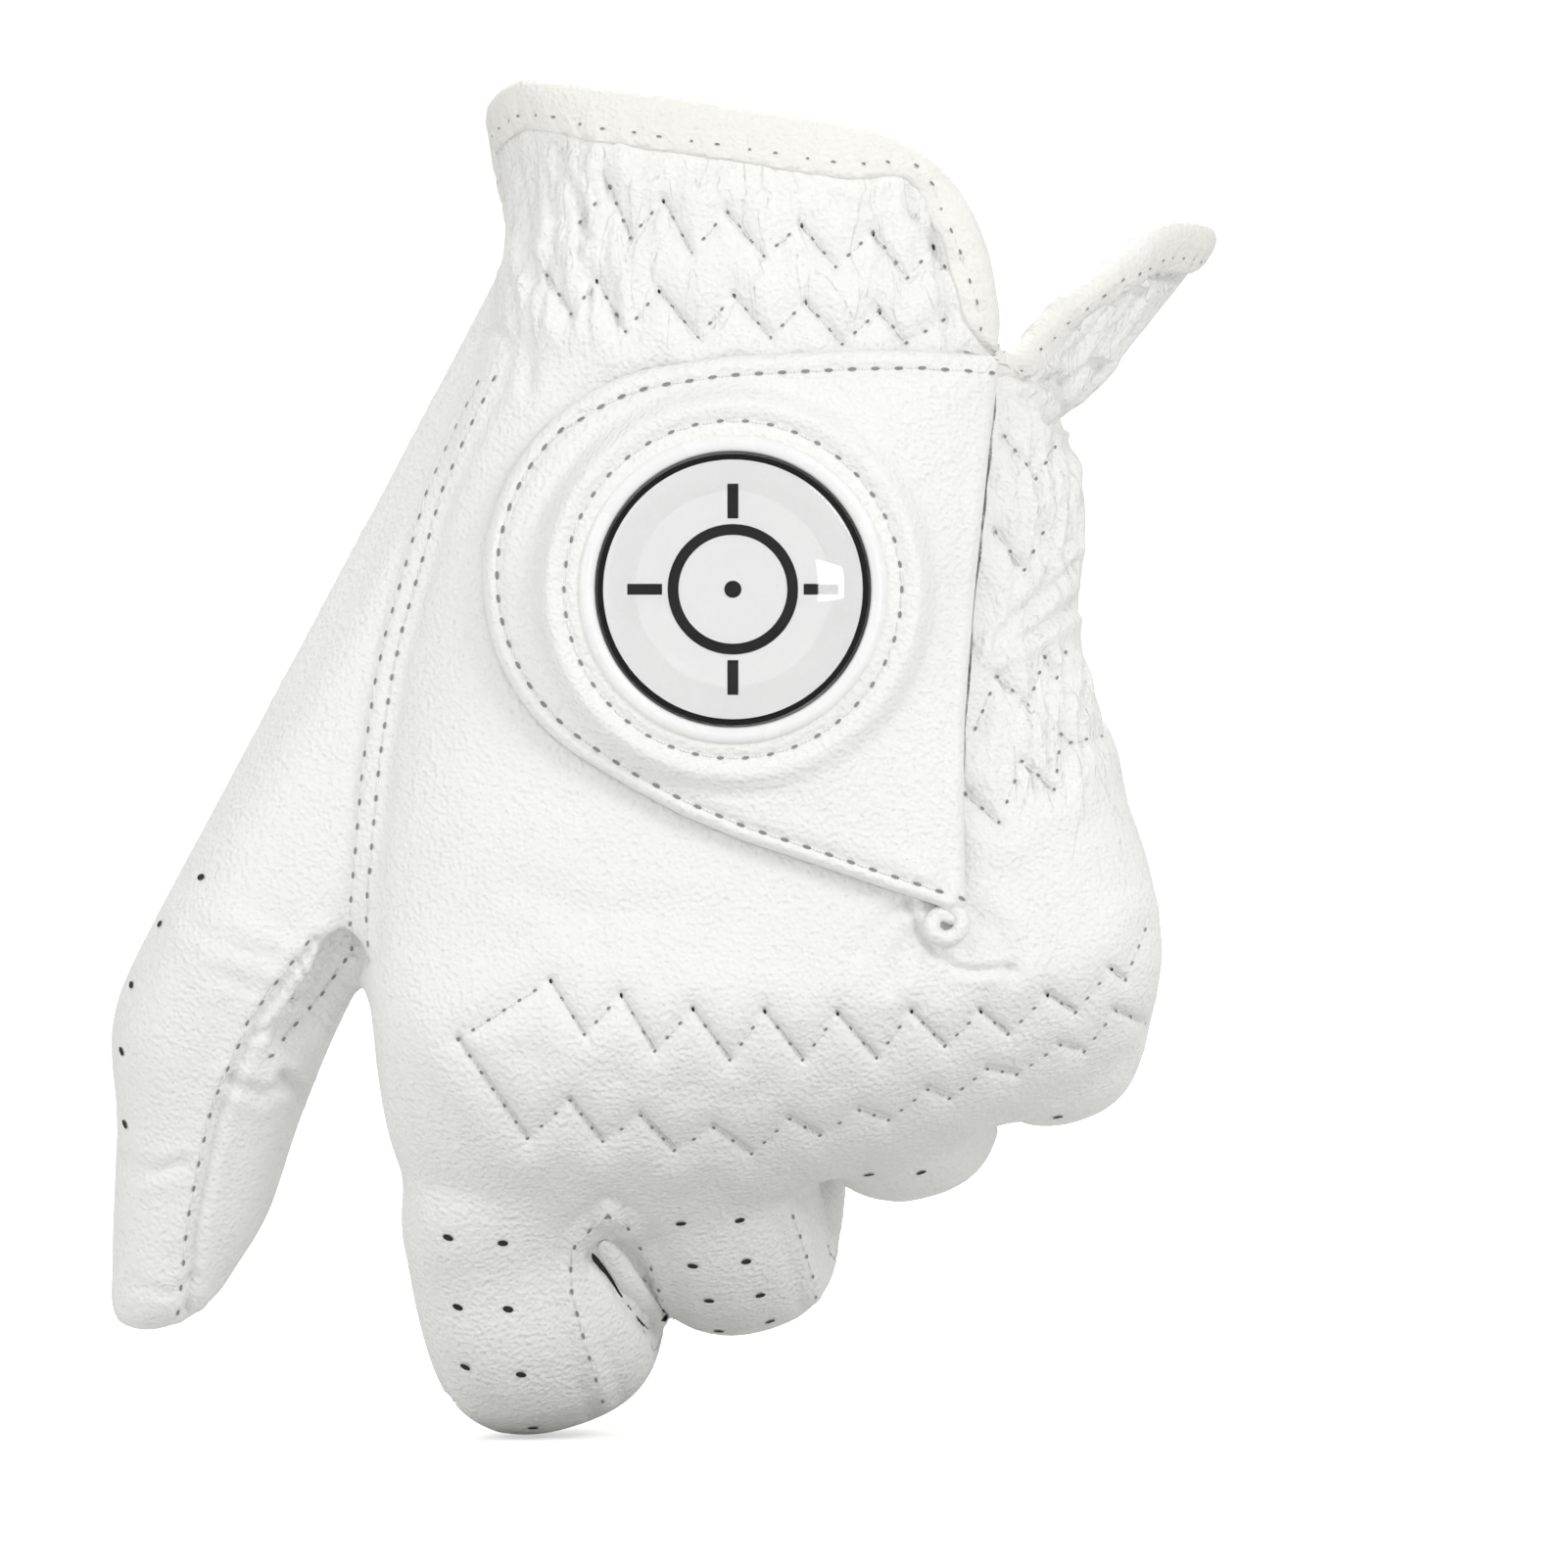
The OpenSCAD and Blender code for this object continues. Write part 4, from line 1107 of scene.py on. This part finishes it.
# The leather that ends the slit, rolled into a small scroll.
scroll = []
for t in np.linspace(0, 1, 40):
    a = math.radians(100 - 470 * t)
    radius = 2.0 - 1.3 * t
    x, z = 18.4 + radius * math.cos(a), -61.5 + 0.95 * radius * math.sin(a)
    hit = toward_viewer(skin, x, z)
    scroll.append([x, (hit[0][1] if hit else -25) - 0.9 + 0.5 * t, z])


def rolled(name, line, half_width, height, share, step):
    """A roll of leather along a line in space, as thick as share says at each point."""
    rows, last = [], len(line) - 1
    for i, c in enumerate(line):
        side = unit(np.cross(unit(line[min(i + 1, last)] - line[max(i - 1, 0)]), [0, -1, 0])) * half_width
        rows.append([c + (side * math.cos(w) + np.array([0, -height, 0]) * math.sin(w)) * share(i, last)
            for w in np.radians(np.arange(0, 360, step))])
    return strip(name, rows)


slit_scroll = rolled("slit_end_scroll", evened(np.array(scroll), 4), 0.8, 1.1,
    lambda i, last: min(1, 0.5 + i / 6, 0.5 + (last - i) / 6), 30)


def rolled_fold(name, line, half_width, height, narrow=1.0):
    """A rounded fold along a line of (x, z), tapered at both ends and narrowed toward the last one."""
    line = np.array(line, float)
    at = [toward_viewer(skin, *spline(line, v))[0] for v in np.linspace(0, len(line) - 1, 30)]

    def share(i, last):
        return max(1 - (2 * i / last - 1) ** 4, 0.05) ** 0.5 * (1 - (1 - narrow) * min(1, 2 * i / last))

    return rolled(name, evened(np.array(at), 4), half_width, height, share, 20)


roll_line = [(-13.2, -90.7), (-12.2, -92.1), (-11.2, -93.6), (-9.9, -95.6), (-8.7, -97.2), (-8.1, -98.4)]
gap_line = [(-14, -91.8), (-13.3, -93.0), (-12.3, -94.3), (-11.1, -96.2), (-9.9, -97.8), (-8.9, -98.8)]
web_roll = rolled_fold("middle_welt_fold", roll_line, 1.15, 1.5)
# The near-black strip along the gap between the index and middle fingers is painted shade in the gap.
web_shadow = rolled_fold("web_gap_inside", gap_line, 0.5, 0.25, 0.25)


# ---------------------------------------------------------------- materials
def material(name, colour, roughness, build=None, **sockets):
    made = bpy.data.materials.get(name) or bpy.data.materials.new(name)
    made.use_nodes = True
    tree = made.node_tree
    tree.nodes.clear()
    out = tree.nodes.new("ShaderNodeOutputMaterial")
    shader = tree.nodes.new("ShaderNodeBsdfPrincipled")
    tree.links.new(shader.outputs[0], out.inputs[0])
    shader.inputs["Base Color"].default_value = (*colour, 1)
    shader.inputs["Roughness"].default_value = roughness
    for k, v in sockets.items():
        shader.inputs[k.replace("_", " ")].default_value = v
    if build:
        build(tree, shader)
    return made


def node(tree, kind, inputs=None, **settings):
    made = tree.nodes.new("ShaderNode" + kind)
    for k, v in settings.items():
        setattr(made, k, v)
    for k, v in (inputs or {}).items():
        if isinstance(v, bpy.types.NodeSocket):
            tree.links.new(v, made.inputs[k])
        else:
            made.inputs[k].default_value = v
    return made


def place(tree):
    return node(tree, "TexCoord").outputs["Object"]


def bump(tree, shader, height, strength, depth, under=None):
    inputs = {"Height": height, "Strength": strength, "Distance": depth}
    if under is not None:
        inputs["Normal"] = under
    b = node(tree, "Bump", inputs)
    tree.links.new(b.outputs[0], shader.inputs["Normal"])
    return b.outputs[0]


def tinted(tree, shader, factor, dark, light):
    mix = node(tree, "Mix", {"Factor": factor}, data_type="RGBA")
    mix.inputs[6].default_value, mix.inputs[7].default_value = (*dark, 1), (*light, 1)
    tree.links.new(mix.outputs[2], shader.inputs["Base Color"])


def ramp(tree, value, low, high, start=0.0, end=1.0):
    """A value that goes from start to end, mapped to go from low to high."""
    inputs = {"Value": value, "From Min": start, "From Max": end, "To Min": low, "To Max": high}
    return node(tree, "MapRange", inputs).outputs[0]


def noise(tree, scale, at=None, **inputs):
    return node(tree, "TexNoise", {"Vector": at or place(tree), "Scale": scale, **inputs}).outputs[0]


def voronoi(tree, scale, at=None, feature="F1", randomness=1.0):
    inputs = {"Vector": at or place(tree), "Scale": scale, "Randomness": randomness}
    return node(tree, "TexVoronoi", inputs, feature=feature).outputs[0]


def wave(tree, scale, distortion, along="X"):
    inputs = {"Vector": place(tree), "Scale": scale, "Distortion": distortion}
    return node(tree, "TexWave", inputs, bands_direction=along).outputs[1]


def maths(tree, operation, *values):
    return node(tree, "Math", dict(enumerate(values)), operation=operation).outputs[0]


def crinkles(tree, at):
    """Thin upright creases over the cuff and the heel, fading out toward the rest of the hand."""
    x, _, z = node(tree, "SeparateXYZ", {"Vector": at}).outputs
    cuff = ramp(tree, z, 0, 1, -0.012, -0.004)
    heel = maths(tree, "MULTIPLY", ramp(tree, x, 0, 1, 0.0225, 0.026), ramp(tree, z, 0, 1, -0.062, -0.05))
    zone = maths(tree, "MAXIMUM", cuff, heel)
    tall = node(tree, "Mapping", {"Vector": at, "Scale": (1.0, 1.0, 0.25)}).outputs[0]
    waves = noise(tree, 330.0, tall, Detail=2.0, Distortion=0.5)
    off_line = maths(tree, "ABSOLUTE", maths(tree, "SUBTRACT", waves, 0.5))
    return maths(tree, "MULTIPLY", ramp(tree, off_line, 0, 1, 0, 0.035), zone)


def leather_nodes(dark, light, grain=1.0, crinkled=False):
    def build(tree, shader):
        at = place(tree)
        warp = noise(tree, 260.0, at, Detail=3.0, Roughness=0.6)
        tinted(tree, shader, noise(tree, 45.0, at, Detail=3.0), dark, light)
        tree.links.new(ramp(tree, warp, 0.42, 0.6), shader.inputs["Roughness"])
        under = bump(tree, shader, warp, 0.3 * grain, 0.0005)
        under = bump(tree, shader, voronoi(tree, 2300.0, at, "SMOOTH_F1"), 0.7 * grain, 0.00024, under)
        under = bump(tree, shader, voronoi(tree, 1500.0, at), 0.6 * grain, 0.00012, under)
        if crinkled:
            bump(tree, shader, crinkles(tree, at), 0.6, 0.00014, under)
    return build


def thread_nodes(tree, shader):
    twist = wave(tree, 900.0, 1.0)
    bump(tree, shader, twist, 0.4, 0.00005)
    # The colour darkens where the twist's bump is low: painted shade in the grooves.
    tinted(tree, shader, twist, (0.70, 0.70, 0.69), (0.84, 0.84, 0.83))


def suede_nodes(tree, shader):
    nap = noise(tree, 2600.0, Detail=4.0)
    # The nap's colour follows its bump, darker in the hollows: painted shade.
    tinted(tree, shader, nap, (0.62, 0.61, 0.58), (0.78, 0.77, 0.74))
    bump(tree, shader, nap, 0.6, 0.00015)


def elastic_nodes(tree, shader):
    ribs = wave(tree, 260.0, 0.3, "Z")
    # The ribs darken the colour in the grooves between them: painted shade.
    tinted(tree, shader, ribs, (0.66, 0.66, 0.66), (0.84, 0.84, 0.84))
    bump(tree, shader, maths(tree, "ADD", ribs, wave(tree, 420.0, 0.6)), 0.7, 0.0003)


def fleece_nodes(tree, shader):
    fluff = noise(tree, 1800.0, Detail=5.0, Distortion=1.5)
    # The fluff's colour follows its bump, darker in the hollows: painted shade.
    tinted(tree, shader, fluff, (0.62, 0.62, 0.62), (0.86, 0.86, 0.86))
    bump(tree, shader, fluff, 1.0, 0.0005)


def hook_nodes(tree, shader):
    stems = voronoi(tree, 1100.0, randomness=0.25)
    # Darker between the hooks, where the bump is lowest: painted shade.
    tinted(tree, shader, stems, (0.86, 0.86, 0.85), (0.55, 0.55, 0.54))
    bump(tree, shader, ramp(tree, stems, 1.0, 0.0), 1.0, 0.0006)


def dark_nodes(dark, light):
    def build(tree, shader):
        tinted(tree, shader, noise(tree, 900.0), dark, light)
    return build


def plastic_nodes(tree, shader):
    worn = noise(tree, 300.0, Detail=4.0)
    tree.links.new(ramp(tree, worn, 0.2, 0.34), shader.inputs["Roughness"])
    tinted(tree, shader, worn, (0.82, 0.82, 0.82), (0.88, 0.88, 0.88))
    bump(tree, shader, worn, 0.05, 0.0001)


def metal_nodes(tree, shader):
    brushed = node(tree, "Mapping", {"Vector": place(tree), "Scale": (80, 80, 3000)}).outputs[0]
    brushed = noise(tree, 1.0, brushed, Detail=3.0)
    tree.links.new(ramp(tree, brushed, 0.25, 0.42), shader.inputs["Roughness"])
    tinted(tree, shader, brushed, (0.5, 0.5, 0.51), (0.68, 0.68, 0.7))
    bump(tree, shader, brushed, 0.15, 0.00003)


def print_nodes(low, high, roughness):
    def build(tree, shader):
        fine = noise(tree, 2500.0)
        tinted(tree, shader, fine, (low,) * 3, (high,) * 3)
        tree.links.new(ramp(tree, fine, roughness, roughness + 0.08), shader.inputs["Roughness"])
    return build


white_nodes = leather_nodes((0.82, 0.82, 0.8), (0.89, 0.89, 0.875), 1.0, True)
cream_nodes = leather_nodes((0.80, 0.79, 0.75), (0.87, 0.86, 0.83), 0.8)
# Grey needle holes: painted shade in the holes.
needle_hole_shade_nodes = dark_nodes((0.2, 0.2, 0.195), (0.32, 0.32, 0.31))
# Near-black for the perforations, the zigzag slots and the web gap: painted shade inside them.
painted_shade_black_nodes = dark_nodes((0.01, 0.01, 0.01), (0.035, 0.035, 0.033))
looks = {
    "leather": material("white_leather", (0.85, 0.85, 0.85), 0.5, white_nodes, Specular_IOR_Level=0.35),
    "inside": material("suede_inside", (0.7, 0.69, 0.67), 0.95, suede_nodes),
    "binding": material("binding_leather", (0.84, 0.83, 0.79), 0.5, cream_nodes, Specular_IOR_Level=0.35),
    "thread": material("sewing_thread", (0.8, 0.8, 0.79), 0.6, thread_nodes),
    "hole": material("needle_hole", (0.15, 0.15, 0.15), 0.9, needle_hole_shade_nodes),
    "vent": material("vent_hole", (0.02, 0.02, 0.02), 0.95, painted_shade_black_nodes),
    "elastic": material("woven_elastic", (0.8, 0.8, 0.8), 0.85, elastic_nodes, Sheen_Weight=0.3),
    "fleece": material("loop_fleece", (0.8, 0.8, 0.8), 0.95, fleece_nodes, Sheen_Weight=0.5),
    "hooks": material("hook_tape", (0.8, 0.8, 0.79), 0.6, hook_nodes),
    "plastic": material("seat_plastic", (0.86, 0.86, 0.86), 0.25, plastic_nodes),
    "steel": material("magnet_steel", (0.6, 0.6, 0.62), 0.3, metal_nodes, Metallic=1.0),
    "black": material("black_enamel", (0.012, 0.012, 0.013), 0.5, print_nodes(0.004, 0.009, 0.45),
        Specular_IOR_Level=0.15),
    "print": material("grey_print", (0.74, 0.74, 0.74), 0.3, print_nodes(0.70, 0.74, 0.3)),
    "ink": material("black_ink", (0.01, 0.01, 0.01), 0.5, print_nodes(0.003, 0.007, 0.5),
        Specular_IOR_Level=0.15),
    "resin": material("clear_resin", (0.97, 0.97, 0.97), 0.02, Transmission_Weight=1.0, IOR=1.35,
        Specular_IOR_Level=0.25),
}


# ---------------------------------------------------------------- materials, and the body each piece hangs from when no bend is given
def finish(obj, body, slot, *materials, replaces=(), sharp=None, bend=None):
    obj.data.transform(Matrix.Scale(0.001, 4))
    obj.data.materials.clear()
    for look in materials:
        obj.data.materials.append(looks[look])
    obj.data.polygons.foreach_set("use_smooth", [True] * len(obj.data.polygons))
    if sharp:
        obj.data.set_sharp_from_angle(angle=math.radians(sharp))
    obj.data.update()
    if bend:
        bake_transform(obj)
    else:
        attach(obj, body)
    if replaces:
        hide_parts(*replaces)
    return obj


finger_bend = (web[0] + bend_dir * BEND_START, web[0] + bend_dir * BEND_END)
thumb_bend = (thumb_at - thumb_dir * 1.0, thumb_at + thumb_dir * 8.0)
finish(shells[0], "glove", "leather", "leather", "inside",
    replaces=("back_panel", "palm_panel", "thumb_base_panel"))
for f, obj, gusset in zip(fingers, shells[1:5], ("_gusset", "_gussets", "_gussets", "_gusset")):
    finish(obj, f + "_finger", "leather", "leather", "inside", bend=finger_bend,
        replaces=(f + "_back_leather", f + "_palm_leather", f + gusset))
finish(shells[5], "thumb", "leather", "leather", "inside", bend=thumb_bend,
    replaces=("thumb_outer_leather", "thumb_inner_leather", "thumb_quirk"))
finish(tape, "glove", "binding_leather", "binding", sharp=60,
    replaces=("cuff_binding_back", "cuff_binding_palm", "slit_binding_back", "slit_binding_palm"))
finish(web_roll, "middle_finger", "leather", "leather", bend=finger_bend)
finish(web_shadow, "index_finger", "leather", "vent", bend=finger_bend)
finish(slit_scroll, "glove", "binding_leather", "leather", replaces=("slit_end_loop",))
finish(loop_patch, "glove", "hook_and_loop", "fleece", sharp=50, replaces=("loop_patch",))
for where, band in (("wrist", wrist_band), ("knuckle", knuckle_band), ("heel", heel_band)):
    finish(band, "glove", "elastic", "elastic", sharp=50, replaces=(where + "_elastic",))
finish(tab, "closure_tab", "leather", "leather", "inside", sharp=75,
    replaces=("tab_leather", "tab_hem", "tab_lining", "seat_flange"))
finish(hook_patch, "closure_tab", "hook_and_loop", "hooks", sharp=50, replaces=("hook_patch",))
finish(seat, "closure_tab", "seat_plastic", "plastic", sharp=45, replaces=("marker_seat",))
finish(disc, "ball_marker", "marker_black", "black", sharp=35, replaces=("marker_disc",))
finish(face, "ball_marker", "marker_print", "print", sharp=45, replaces=("marker_face",))
finish(emblem, "ball_marker", "marker_ink", "ink", sharp=30, replaces=("marker_emblem",))
finish(dome, "ball_marker", "marker_resin", "resin", sharp=45, replaces=("marker_dome",))
dome.visible_shadow = False
magnet_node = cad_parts["seat_magnet"]
magnet_node.data.materials.clear()
magnet_node.data.materials.append(looks["steel"])
homes = {"glove": ("glove", None), "tab": ("closure_tab", None), "thumb": ("thumb", thumb_bend)}
homes.update({name: (name + "_finger", finger_bend) for name in fingers})
for sewing in (glove_sewing, tab_sewing, thumb_sewing, *vents.values(), *finger_sewing.values()):
    body, bend = homes[sewing.name.split("_")[0]]
    hole_look = "vent" if sewing.name.endswith("vents") else "hole"
    for obj in sewing.build():
        finish(obj, body, "leather", "thread" if obj.name.endswith("thread") else hole_look, bend=bend)


# ---------------------------------------------------------------- floor, light and camera
def paper(tree, shader):
    """White paper that looks bright and throws little light back up."""
    seen_directly = node(tree, "LightPath").outputs[0]
    mix = node(tree, "Mix", {"Factor": seen_directly}, data_type="RGBA")
    mix.inputs[6].default_value, mix.inputs[7].default_value = (0.6, 0.6, 0.59, 1), (0.93, 0.93, 0.93, 1)
    tree.links.new(mix.outputs[2], shader.inputs["Base Color"])
    tree.links.new(ramp(tree, seen_directly, 0.0, 0.5), shader.inputs["Emission Strength"])


floor_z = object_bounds()[0][2] - 0.0003
bend = [(1.6 + 0.9 * math.sin(a), 0.9 - 0.9 * math.cos(a)) for a in np.radians(range(0, 91, 6))]
sweep = [(-2.5, 0.0), *bend, (2.5, 4.0)]
backdrop = mesh_object("studio_sweep", [(x, y, floor_z + z) for y, z in sweep for x in (-4, 4)],
    [(2 * i, 2 * i + 1, 2 * i + 3, 2 * i + 2) for i in range(len(sweep) - 1)])
white_paper = material("studio_sweep_paper", (0.92, 0.92, 0.92), 0.9, paper, Emission_Color=(1, 1, 1, 1))
backdrop.data.materials.append(white_paper)
backdrop.data.polygons.foreach_set("use_smooth", [True] * len(backdrop.data.polygons))

world = bpy.data.worlds.new("studio")
bpy.context.scene.world = world
world.use_nodes = True
world.node_tree.nodes["Background"].inputs[0].default_value = (1, 1, 1, 1)
world.node_tree.nodes["Background"].inputs[1].default_value = 0.66


def softbox(name, at, aim, width, height, power):
    lamp = bpy.data.lights.new(name, "AREA")
    lamp.shape = "RECTANGLE"
    lamp.size = width
    lamp.size_y = height
    lamp.energy = power
    obj = bpy.data.objects.new(name, lamp)
    bpy.context.scene.collection.objects.link(obj)
    obj.location = at
    obj.rotation_euler = (Vector(aim) - Vector(at)).to_track_quat("-Z", "Y").to_euler()


middle_of_glove = (0.0, 0.0, -0.05)
softbox("key_light", (0.7, -0.85, 0.55), middle_of_glove, 0.4, 0.4, 4.6)
softbox("fill_light", (-0.9, -0.8, 0.35), middle_of_glove, 1.0, 1.0, 3.9)
softbox("back_light", (0.0, 1.0, 1.2), middle_of_glove, 1.5, 1.5, 20)
softbox("catch_light", (0.165, -0.93, 0.0), (-0.001, -0.03, -0.031), 0.1, 0.06, 0.6)

cam_data = bpy.data.cameras.new("camera")
cam_data.sensor_width = 36
cam_data.lens = 36 * 0.9 / FRAME_WIDTH
cam_data.clip_start = 0.01
cam = bpy.data.objects.new("camera", cam_data)
bpy.context.scene.collection.objects.link(cam)
cam.location = (LOOK_AT[0] / 1000, -0.929, LOOK_AT[2] / 1000)
cam.rotation_euler = (math.radians(90), 0, 0)
bpy.context.scene.camera = cam
bpy.context.scene.view_settings.view_transform = "Standard"
